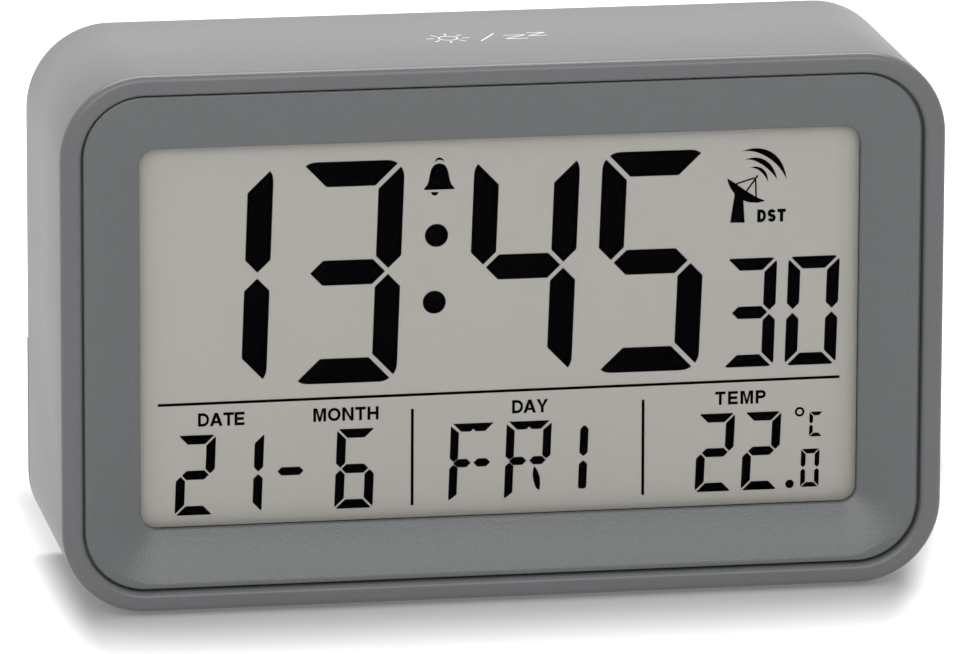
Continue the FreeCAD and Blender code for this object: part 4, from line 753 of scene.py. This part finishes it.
def striped(name, one, two, pitch_mm, rough, metallic=0.0):
    """A row of fine lines side by side, such as turns of wire, ribbed over their pitch."""
    material, tree, place = new_material(name)
    # a wave texture's bands lie pi / 10 apart at a scale of 1
    bands = node(tree, "TexWave", {
        "Vector": place, "Scale": math.pi / 10 / (pitch_mm * MM)}).outputs["Fac"]
    lines = node(tree, "Mix", {0: bands, 6: one, 7: two}, data_type="RGBA")
    ribs = node(tree, "Bump", {"Height": bands, "Strength": 0.6, "Distance": 0.2 * pitch_mm * MM})
    node(tree, "OutputMaterial", {0: node(tree, "BsdfPrincipled", {
        "Base Color": lines, "Roughness": rough, "Metallic": metallic, "Normal": ribs})})
    return material


dress_nodes(clear_sheet("float_glass", "#e9efea", 0.02, 30.0), "lcd_front_glass",
            "lcd_rear_glass")
dress_nodes(clear_sheet("frosted_acrylic", "#f1f3f2", 0.35, 1.5), "light_guide")
dress_nodes(lcd_film, "lcd_rear_polariser")
# bright white film, almost without shine
dress_nodes(moulded_plastic("white_polyester_film", "#f0f0ee", 0.65, 0.5, 0.002),
            "reflector_sheet")
# white moulded ABS, a little cream, with a soft sheen
white_abs = moulded_plastic("white_moulded_abs", "#e4e3de", 0.45, 0.4, 0.008)
dress_nodes(white_abs, "lcd_holder")
# layers of conducting and plain silicone, drawn coarser than the real 0.1 mm so that they show
dress_nodes(striped("zebra_silicone", "#d8c8bf", "#3b3634", 0.5, 0.6), "zebra_strip")
# cast resin, milky yellow and smooth
dress_nodes(moulded_plastic("milky_led_resin", "#efe8c6", 0.25, 0.8, 0.002), "backlight_leds")


# ------------------------------
# Boards: glass-fibre laminate under a green solder mask, with the clock's
# chip under a black resin blob, its quartz can and the radio's small board.
# The rear board carries five tact switches and two slide switches.
solder_mask, tree, place = new_material("green_solder_mask")
# tracks about 0.4 mm wide that run in steps, as a brick pattern's joints do
tracks = node(tree, "TexBrick", {
    "Vector": node(tree, "Mapping", {"Vector": place, "Rotation": (math.radians(90), 0, 0)}),
    "Scale": 1.0, "Mortar Size": 0.2 * MM, "Brick Width": 6.5 * MM, "Row Height": 1.9 * MM,
    "Mortar Smooth": 0.2}).outputs["Fac"]
ground = mottled(tree, place, 0.6, "#16462a", "#1d5433")
green = node(tree, "Mix", {0: tracks, 6: ground, 7: "#2d7a48"}, data_type="RGBA")
raised = node(tree, "Bump", {"Height": tracks, "Strength": 0.5, "Distance": 0.04 * MM})
node(tree, "OutputMaterial", {0: node(tree, "BsdfPrincipled", {
    "Base Color": green, "Roughness": 0.28, "Normal": raised})})


def sheet_metal(name, tone, rough, direction):
    """Rolled sheet metal: bright, with the fine lines that the rollers left along it."""
    material, tree, place = new_material(name)
    along = {"X": (0.04, 1.0, 1.0), "Z": (1.0, 1.0, 0.04)}[direction]
    drawn = node(tree, "Mapping", {"Vector": place, "Scale": along})
    lines = node(tree, "TexNoise", {"Vector": drawn, "Scale": 1 / (0.12 * MM)})
    gloss = node(tree, "MapRange", {"Value": lines, "To Min": rough - 0.08,
                                    "To Max": rough + 0.08})
    node(tree, "OutputMaterial", {0: node(tree, "BsdfPrincipled", {
        "Base Color": varied(tree, tone, lines, 0.9, 1.08), "Metallic": 1.0,
        "Roughness": gloss})})
    return material


dress_nodes(solder_mask, "main_board", "key_board", "radio_module")
# potted resin: black, smooth and slightly uneven
black_resin = moulded_plastic("black_potting_resin", "#17171a", 0.32, 1.2, 0.02)
dress_nodes(black_resin, "controller_chip", "temperature_sensor")
dress_nodes(sheet_metal("drawn_can_metal", "#bdbcb6", 0.25, "X"), "quartz_crystal")
# black switch mouldings, matt and fine-grained
switch_black = moulded_plastic("black_switch_nylon", "#1c1c1f", 0.5, 0.3, 0.01)
dress_nodes(switch_black, "tact_switches", "alarm_switch_body", "light_switch_body",
            *[key + "_plunger" for key in ("set_key", "up_key", "down_key", "alarm_key",
                                           "signal_key")])


# ------------------------------
# Aerial and touch zone: a ferrite bar in nylon clips with a coil of enamelled
# wire on it, and a foil electrode under the top wall with its sprung contact.

# sintered ferrite: dull, dark and faintly speckled
dress_nodes(moulded_plastic("sintered_ferrite", "#3b3b3d", 0.62, 0.25, 0.03), "ferrite_bar")
# turns of wire drawn 0.35 mm apart, coarser than the real ones so that they show
dress_nodes(striped("enamelled_copper_wire", "#c27a45", "#7c3f1f", 0.35, 0.3, 0.9),
            "antenna_coil")
# unpainted nylon: creamy, with a soft sheen
dress_nodes(moulded_plastic("natural_nylon", "#dcd9cb", 0.45, 0.6, 0.01), "antenna_clips")
dress_nodes(sheet_metal("rolled_aluminium_foil", "#c9cacc", 0.3, "X"), "touch_electrode")
nickel_steel = sheet_metal("nickel_plated_spring_steel", "#b7b4ad", 0.28, "Z")
dress_nodes(nickel_steel, "touch_contact")


# ------------------------------
# Top marking: a lamp and sleep sign screen printed on the case's top in thin
# white ink, over the touch zone.
INK = 0.02                             # thickness of the ink
PEN = 0.3                              # width of its lines

# thin ink lets the grey through in small specks
white_ink, tree, place = new_material("white_screen_ink")
specks = mottled(tree, place, 0.2, "#e2e2e5", "#f4f4f6")
node(tree, "OutputMaterial", {0: node(tree, "BsdfPrincipled", {
    "Base Color": specks, "Roughness": 0.5})})


def letter_z(left, base, width, height):
    """The outline of a Z (mm)."""
    right, top = left + width, base + height
    return [(left, base), (right, base), (right, base + PEN), (left + 1.7 * PEN, base + PEN),
            (right, top - PEN), (right, top), (left, top), (left, top - PEN),
            (right - 1.7 * PEN, top - PEN), (left, base + PEN)]


SUN_X, SUN_Y, SUN_R, RAY_START, RAY_END = -6.15, -0.45, 1.75, 2.35, 3.7
marking = ring(SUN_X, SUN_Y, SUN_R, SUN_R - PEN)
for eighth in range(8):
    ray_x, ray_y = math.cos(math.pi / 4 * eighth), math.sin(math.pi / 4 * eighth)
    marking.append(stroke_line(SUN_X + RAY_START * ray_x, SUN_Y + RAY_START * ray_y,
                               SUN_X + RAY_END * ray_x, SUN_Y + RAY_END * ray_y, PEN))
marking.append(stroke_line(-0.96, -3.4, 2.14, 2.4, PEN))
marking += [letter_z(3.41, -2.45, 3.8, 3.1), letter_z(7.61, -0.58, 3.2, 2.7)]
top_marking = printed_shape("top_marking", marking, INK)
put(top_marking, (0, 0, 0), 0, 0, CASE_MID + CASE_H / 2 - INK / 2)
finish(top_marking, "case", white_ink, "case_plastic")


# ------------------------------
# Rear cover: an ABS plate with a raised foot round the battery bay, moulded
# with its slots and key holes. Four long steel screws with cross recesses
# hold it to the pillars of the bezel.

# the same ABS from a rougher mould, so a shade darker and less glossy than the sleeve
cover_abs = moulded_plastic("dark_grained_abs", "#4c4e50", 0.46, 0.4, 0.02)
dress_nodes(cover_abs, "rear_cover")


def turned(name, profile, middle, axis, count=40):
    """A round piece (mm): the profile gives its radius at places along the axis."""
    rotation = {"X": (0, math.radians(90), 0), "Y": (math.radians(90), 0, 0), "Z": (0, 0, 0)}[axis]
    step = Vector([1 if letter == axis else 0 for letter in "XYZ"])
    start, radius = profile[0]
    deselect()
    bpy.ops.mesh.primitive_circle_add(vertices=count, radius=radius * MM, fill_type="NGON",
                                      location=(Vector(middle) + start * step) * MM,
                                      rotation=rotation)
    piece = bpy.context.object
    piece.name = piece.data.name = name
    bpy.ops.object.transform_apply(location=True, rotation=True, scale=True)
    bpy.ops.object.mode_set(mode="EDIT")
    bpy.ops.mesh.select_mode(type="FACE")
    bpy.ops.mesh.select_all(action="SELECT")
    for (place0, radius0), (place1, radius1) in zip(profile, profile[1:]):
        bpy.ops.mesh.extrude_region_move(
            TRANSFORM_OT_translate={"value": (place1 - place0) * step * MM})
        bpy.ops.transform.resize(value=[1 if part else radius1 / radius0 for part in step],
                                 center_override=(Vector(middle) + place1 * step) * MM)
    return piece


def repeat(piece, name, dx=0.0, dy=0.0, dz=0.0):
    """A copy of a shape with a mesh of its own, so many millimetres away."""
    twin = piece.copy()
    twin.data = piece.data.copy()
    twin.name = twin.data.name = name
    bpy.context.scene.collection.objects.link(twin)
    twin.data.transform(Matrix.Translation((dx * MM, dy * MM, dz * MM)))
    return twin


def four_of(first, dx, dy, dz):
    """Joins a piece with three copies of it: across, along by dy or dz, and both (mm)."""
    return joined(first, repeat(first, "second", dx), repeat(first, "third", 0, dy, dz),
                  repeat(first, "fourth", dx, dy, dz))


SCREW_X, SCREW_LOW, SCREW_HIGH, SCREW_SEAT = 66.5, 9.3, 84.3, 20.4
CROSS_LONG, CROSS_WIDE, CROSS_DEEP = 2.7, 0.62, 0.9
screws = turned("cover_screws", [
    (SCREW_SEAT - 10.0, 0.5), (SCREW_SEAT - 9.3, 1.2), (SCREW_SEAT, 1.25), (SCREW_SEAT, 2.45),
    (SCREW_SEAT + 0.8, 2.45), (SCREW_SEAT + 1.1, 2.2), (SCREW_SEAT + 1.25, 1.6)],
    (-SCREW_X, 0, SCREW_LOW), "Y")
for across, along in ((CROSS_LONG, CROSS_WIDE), (CROSS_WIDE, CROSS_LONG)):
    cut_away(screws, -SCREW_X, SCREW_SEAT + 1.0, SCREW_LOW, across, CROSS_DEEP, along)
finish(four_of(screws, 2 * SCREW_X, 0, SCREW_HIGH - SCREW_LOW), "case", nickel_steel,
       "spring_steel", "rear_cover_screws")


# ------------------------------
# Buzzer: a thin brass disc behind the sound slots, bright and scuffed, with a
# paler disc of silvered ceramic glued on it.
BUZZER_X, BUZZER_Z, CERAMIC_R = 46.0, 20.0, 7.2
buzzer_disc, tree, place = new_material("brass_disc_with_ceramic")
offset = node(tree, "VectorMath", {0: place, 1: (BUZZER_X * MM, 0, BUZZER_Z * MM)},
              operation="SUBTRACT")
flat = node(tree, "VectorMath", {0: offset, 1: (1, 0, 1)}, operation="MULTIPLY")
radius = node(tree, "VectorMath", {0: flat}, operation="LENGTH")
silvered = node(tree, "MapRange", {"Value": radius, "From Min": CERAMIC_R * MM,
                                   "From Max": (CERAMIC_R + 0.2) * MM, "To Min": 1.0,
                                   "To Max": 0.0})
brass = mottled(tree, place, 0.8, "#b78f3f", "#d1ab58", 3.0)
disc = node(tree, "Mix", {0: silvered, 6: brass, 7: "#cfcdc6"}, data_type="RGBA")
node(tree, "OutputMaterial", {0: node(tree, "BsdfPrincipled", {
    "Base Color": disc, "Metallic": 1.0, "Roughness": 0.32})})
dress_nodes(buzzer_disc, "buzzer")


# ------------------------------
# Keys: five dark grey ABS caps in a row, each with a flange behind the cover
# and a stem to its switch. Their signs are printed in white.

# smoother than the case, so that the caps catch a soft light
key_abs = moulded_plastic("dark_grey_key_abs", "#47494b", 0.34, 0.4, 0.01)
KEY_Z, KEY_PITCH, KEY_TOP = 74.0, 18.0, 22.3
FLANGE_W, FLANGE_H, FLANGE_FRONT, FLANGE_BACK = 12.4, 8.4, 18.4, 19.3
CAP_INSET, STEM_INSET, STEM_END = 1.2, 2.6, 16.4

first_key = standing_plate("key_cap", FLANGE_W, FLANGE_H, 2.0, FLANGE_FRONT, z=KEY_Z, steps=5)
push(FLANGE_BACK - FLANGE_FRONT)
bpy.ops.mesh.inset(thickness=CAP_INSET * MM)
push(KEY_TOP - FLANGE_BACK)
round_edges(lambda x, y, z: at(y, KEY_TOP), 0.45, 4)
pick("FACE", lambda x, y, z: at(y, FLANGE_FRONT))
bpy.ops.mesh.inset(thickness=STEM_INSET * MM)
push(STEM_END - FLANGE_FRONT)
bpy.ops.object.mode_set(mode="OBJECT")

bell_sign = [(1.35, -1.2), (1.1, -0.75), (1.0, 0.2), (0.65, 0.9), (0.15, 1.15), (-0.15, 1.15),
             (-0.65, 0.9), (-1.0, 0.2), (-1.1, -0.75), (-1.35, -1.2)]
KEY_SIGNS = {
    "set_key": ring(0, 0, 1.0, 0.65, 32),
    "up_key": [[(-1.2, -0.16), (-0.16, -0.16), (-0.16, -1.2), (0.16, -1.2), (0.16, -0.16),
                (1.2, -0.16), (1.2, 0.16), (0.16, 0.16), (0.16, 1.2), (-0.16, 1.2),
                (-0.16, 0.16), (-1.2, 0.16)]],
    "down_key": [stroke_line(-1.2, 0, 1.2, 0, 0.32)],
    "alarm_key": [bell_sign, stroke_line(-0.35, -1.55, 0.35, -1.55, 0.28)],
    "signal_key": [*ring(0, -1.1, 0.35, count=24),
                   crescent([(-0.9, -0.5), (-0.35, -0.1), (0.35, -0.1), (0.9, -0.5)], 0.34),
                   crescent([(-1.5, 0.1), (-0.6, 0.75), (0.6, 0.75), (1.5, 0.1)], 0.34)],
}
for number, (key, sign) in enumerate(KEY_SIGNS.items()):
    key_x = (number - 2) * KEY_PITCH
    cap = repeat(first_key, key + "_cap", key_x)
    finish(cap, key, key_abs, "key_plastic", key)
    mark = printed_shape(key + "_sign", sign, INK)
    put(mark, (90, 0, 180), key_x, KEY_TOP + INK / 2, KEY_Z)
    finish(mark, key, white_ink, "key_plastic")
bpy.data.objects.remove(first_key)


# ------------------------------
# Slide knobs: two small dark ABS grips with three ridges each; a slider plate
# behind the cover keeps them in, and a stem reaches in to the switch.
KNOB_Z, KNOB_TOP, KNOB_HALF, KNOB_HIGH = 55.0, 22.1, 1.7, 2.8
RIDGE_PITCH, RIDGE_HIGH = 1.2, 0.3
PLATE_HALF, STEM_HALF, KNOB_STEM_END = 6.5, 0.9, 14.2
# the outline as seen from above, from the grip's left side over the ridges to the stem
ridged = [(-KNOB_HALF, FLANGE_BACK), (-KNOB_HALF, KNOB_TOP)]
for middle in (-RIDGE_PITCH, 0.0, RIDGE_PITCH):
    ridged += [(middle - 0.25, KNOB_TOP), (middle - 0.15, KNOB_TOP + RIDGE_HIGH),
               (middle + 0.15, KNOB_TOP + RIDGE_HIGH), (middle + 0.25, KNOB_TOP)]
ridged += [(KNOB_HALF, KNOB_TOP), (KNOB_HALF, FLANGE_BACK), (PLATE_HALF, FLANGE_BACK),
           (PLATE_HALF, FLANGE_FRONT), (STEM_HALF, FLANGE_FRONT), (STEM_HALF, KNOB_STEM_END),
           (-STEM_HALF, KNOB_STEM_END), (-STEM_HALF, FLANGE_FRONT), (-PLATE_HALF, FLANGE_FRONT),
           (-PLATE_HALF, FLANGE_BACK)]
for switch, knob_x in (("alarm_switch", -34.5), ("light_switch", 37.5)):
    knob = printed_shape(switch + "_grip", [ridged], KNOB_HIGH)
    put(knob, (0, 0, 0), knob_x, 0, KNOB_Z)
    apply_modifier(knob, "BEVEL", width=0.09 * MM, segments=2, limit_method="ANGLE")
    finish(knob, switch, key_abs, "key_plastic", switch + "_knob")


# ------------------------------
# Cells and contacts: two AAA cells one above the other, steel cans in a film
# sleeve with bare ends, pressed by leaves of nickel-plated spring steel.
dress_nodes(nickel_steel, "battery_jumper_contact", "battery_positive_contact",
            "battery_negative_contact")


def shrink_film(name, tone, rough, metallic):
    """Glossy printed film over a metal can: an even colour with a metallic shimmer and a faint
    waviness where it has shrunk."""
    material, tree, place = new_material(name)
    shrunk = node(tree, "TexNoise", {"Vector": place, "Scale": 1 / (4 * MM)})
    wave = node(tree, "Bump", {"Height": shrunk, "Strength": 0.3, "Distance": 0.05 * MM})
    node(tree, "OutputMaterial", {0: node(tree, "BsdfPrincipled", {
        "Base Color": varied(tree, tone, shrunk, 0.92, 1.08), "Roughness": rough,
        "Metallic": metallic, "Normal": wave})})
    return material


cell_sleeve = shrink_film("pale_grey_shrink_film", "#b4b8bb", 0.26, 0.3)
cell_band = shrink_film("slate_blue_shrink_film", "#3d5670", 0.26, 0.4)
cell_steel = sheet_metal("bare_cell_steel", "#c4c3bf", 0.3, "Z")
CELL_LONG, NUB_LONG, CELL_R, CELL_Y, BAND_START = 43.7, 0.8, 5.25, 15.9, 31.0
CELL_PROFILE = [(0.0, 3.6), (0.12, 4.6), (0.45, 4.95), (0.5, 5.05), (0.8, CELL_R),
                (BAND_START, CELL_R), (CELL_LONG - 0.8, CELL_R), (CELL_LONG - 0.45, 5.0),
                (CELL_LONG - 0.1, 4.7), (CELL_LONG - 0.35, 4.2), (CELL_LONG - 0.3, 2.3),
                (CELL_LONG, 1.95), (CELL_LONG + 0.6, 1.9), (CELL_LONG + NUB_LONG, 1.6)]
for cell, nub_end, way, cell_z in (("battery_upper", 25.6, 1, 25.1),
                                   ("battery_lower", -25.6, -1, 13.9)):
    start = nub_end - way * (CELL_LONG + NUB_LONG)
    can = turned(cell + "_cell", [(start + way * along, radius) for along, radius in CELL_PROFILE],
                 (0, CELL_Y, cell_z), "X", 48)
    finish(can, "case", cell_sleeve, "cell_jacket", cell)
    for bare_or_band in (cell_steel, cell_band):
        can.data.materials.append(bare_or_band)
    for face in can.data.polygons:
        reach = way * (face.center.x / MM - start)
        if reach < 0.5 or reach > CELL_LONG - 0.6:
            face.material_index = 1
        elif reach > BAND_START:
            face.material_index = 2


# ------------------------------
# Battery door: an ABS lid in a recess of the cover's foot. Two tabs at its
# foot hook in, on which it swings, and a ridged tongue snaps under the lip.
DOOR_FRONT, DOOR_BACK, DOOR_LOW, DOOR_HIGH = 21.5, 23.0, 5.3, 32.5
LID_WIDE, LID_ROUND = 57.2, 0.7
TAB_X, TAB_Z, TAB_WIDE, TAB_HIGH, TAB_THICK = 17.0, 5.35, 6.0, 2.9, 0.8
TONGUE_WIDE, TONGUE_LONG, TONGUE_THICK, TONGUE_LOW, TONGUE_TOP = 13.6, 6.0, 0.8, 26.5, 34.0


def from_side(name, outline, width, ease):
    """A piece drawn from the side, y to the right and z up, with its width and eased edges (mm)."""
    piece = printed_shape(name, [outline], width)
    put(piece, (90, 0, 90), 0, 0, 0)
    apply_modifier(piece, "BEVEL", width=ease * MM, segments=2, limit_method="ANGLE")
    return piece


# the lid has a round foot, so that it can swing
door = from_side("battery_lid", [
    *bow(DOOR_FRONT + LID_ROUND, DOOR_LOW + LID_ROUND, LID_ROUND, LID_ROUND, 180, 270, 6),
    *bow(DOOR_BACK - LID_ROUND, DOOR_LOW + LID_ROUND, LID_ROUND, LID_ROUND, 270, 360, 6),
    (DOOR_BACK, DOOR_HIGH), (DOOR_FRONT, DOOR_HIGH)], LID_WIDE, 0.2)
cut_away(door, 0, 22, DOOR_HIGH, TONGUE_WIDE + 0.8, 4, 2 * TONGUE_LONG)
# an arrow pressed into the lid shows which way it opens
arrow = printed_shape("arrow", [[(-2.2, 0), (2.2, 0), (0, -2.6)]], 0.5)
put(arrow, (90, 0, 0), 0, DOOR_BACK, 23.6)
subtract(door, arrow)
tabs = []
for tab_x in (-TAB_X, TAB_X):
    tabs.append(standing_plate("tab", TAB_WIDE, TAB_HIGH, 0.3, DOOR_FRONT, tab_x, TAB_Z, 2))
    push(TAB_THICK)
    bpy.ops.object.mode_set(mode="OBJECT")
finish(joined(door, *tabs), "battery_door", cover_abs, "case_plastic", "battery_door")

tongue_back = DOOR_FRONT + TONGUE_THICK
tongue_side = [(DOOR_FRONT, TONGUE_LOW), (tongue_back, TONGUE_LOW)]
for rib_z in (27.7, 29.3, 30.9):
    tongue_side += [(tongue_back, rib_z), (DOOR_BACK - 0.05, rib_z + 0.15),
                    (DOOR_BACK - 0.05, rib_z + 0.55), (tongue_back, rib_z + 0.7)]
tongue_side += [(tongue_back, TONGUE_TOP), (DOOR_FRONT, TONGUE_TOP)]
tongue = from_side("lid_tongue", tongue_side, TONGUE_WIDE, 0.1)
finish(tongue, "battery_door", cover_abs, "case_plastic", "battery_door_latch")


# ------------------------------
# Leads: soft insulated wires from the battery contacts and the buzzer, a
# grey pair to the sensor, and a flat ribbon between the two boards.
dress_nodes(striped("red_lead_insulation", "#9c2420", "#7d1b19", 1.3, 0.45),
            "battery_leads", "buzzer_leads")
dress_nodes(striped("grey_ribbon_insulation", "#bcbcbe", "#8f9093", 1.27, 0.5),
            "sensor_lead", "board_ribbon")


# ------------------------------
# Feet: four soft rubber discs, moulded with a dished middle, stuck under the
# case near its corners. The rubber is matt black with a dusty bloom.
soft_rubber = moulded_plastic("moulded_soft_rubber", "#222224", 0.75, 0.5, 0.02)
FOOT_X, FOOT_Y, FOOT_HIGH = 56.0, 13.0, 0.8
feet = turned("rubber_feet", [(0.1, 1.9), (0.0, 2.1), (0.0, 4.1), (0.15, 4.4), (FOOT_HIGH, 4.5)],
              (-FOOT_X, -FOOT_Y, 0), "Z")
finish(four_of(feet, 2 * FOOT_X, 2 * FOOT_Y, 0), "case", soft_rubber, "foot_rubber", "feet")
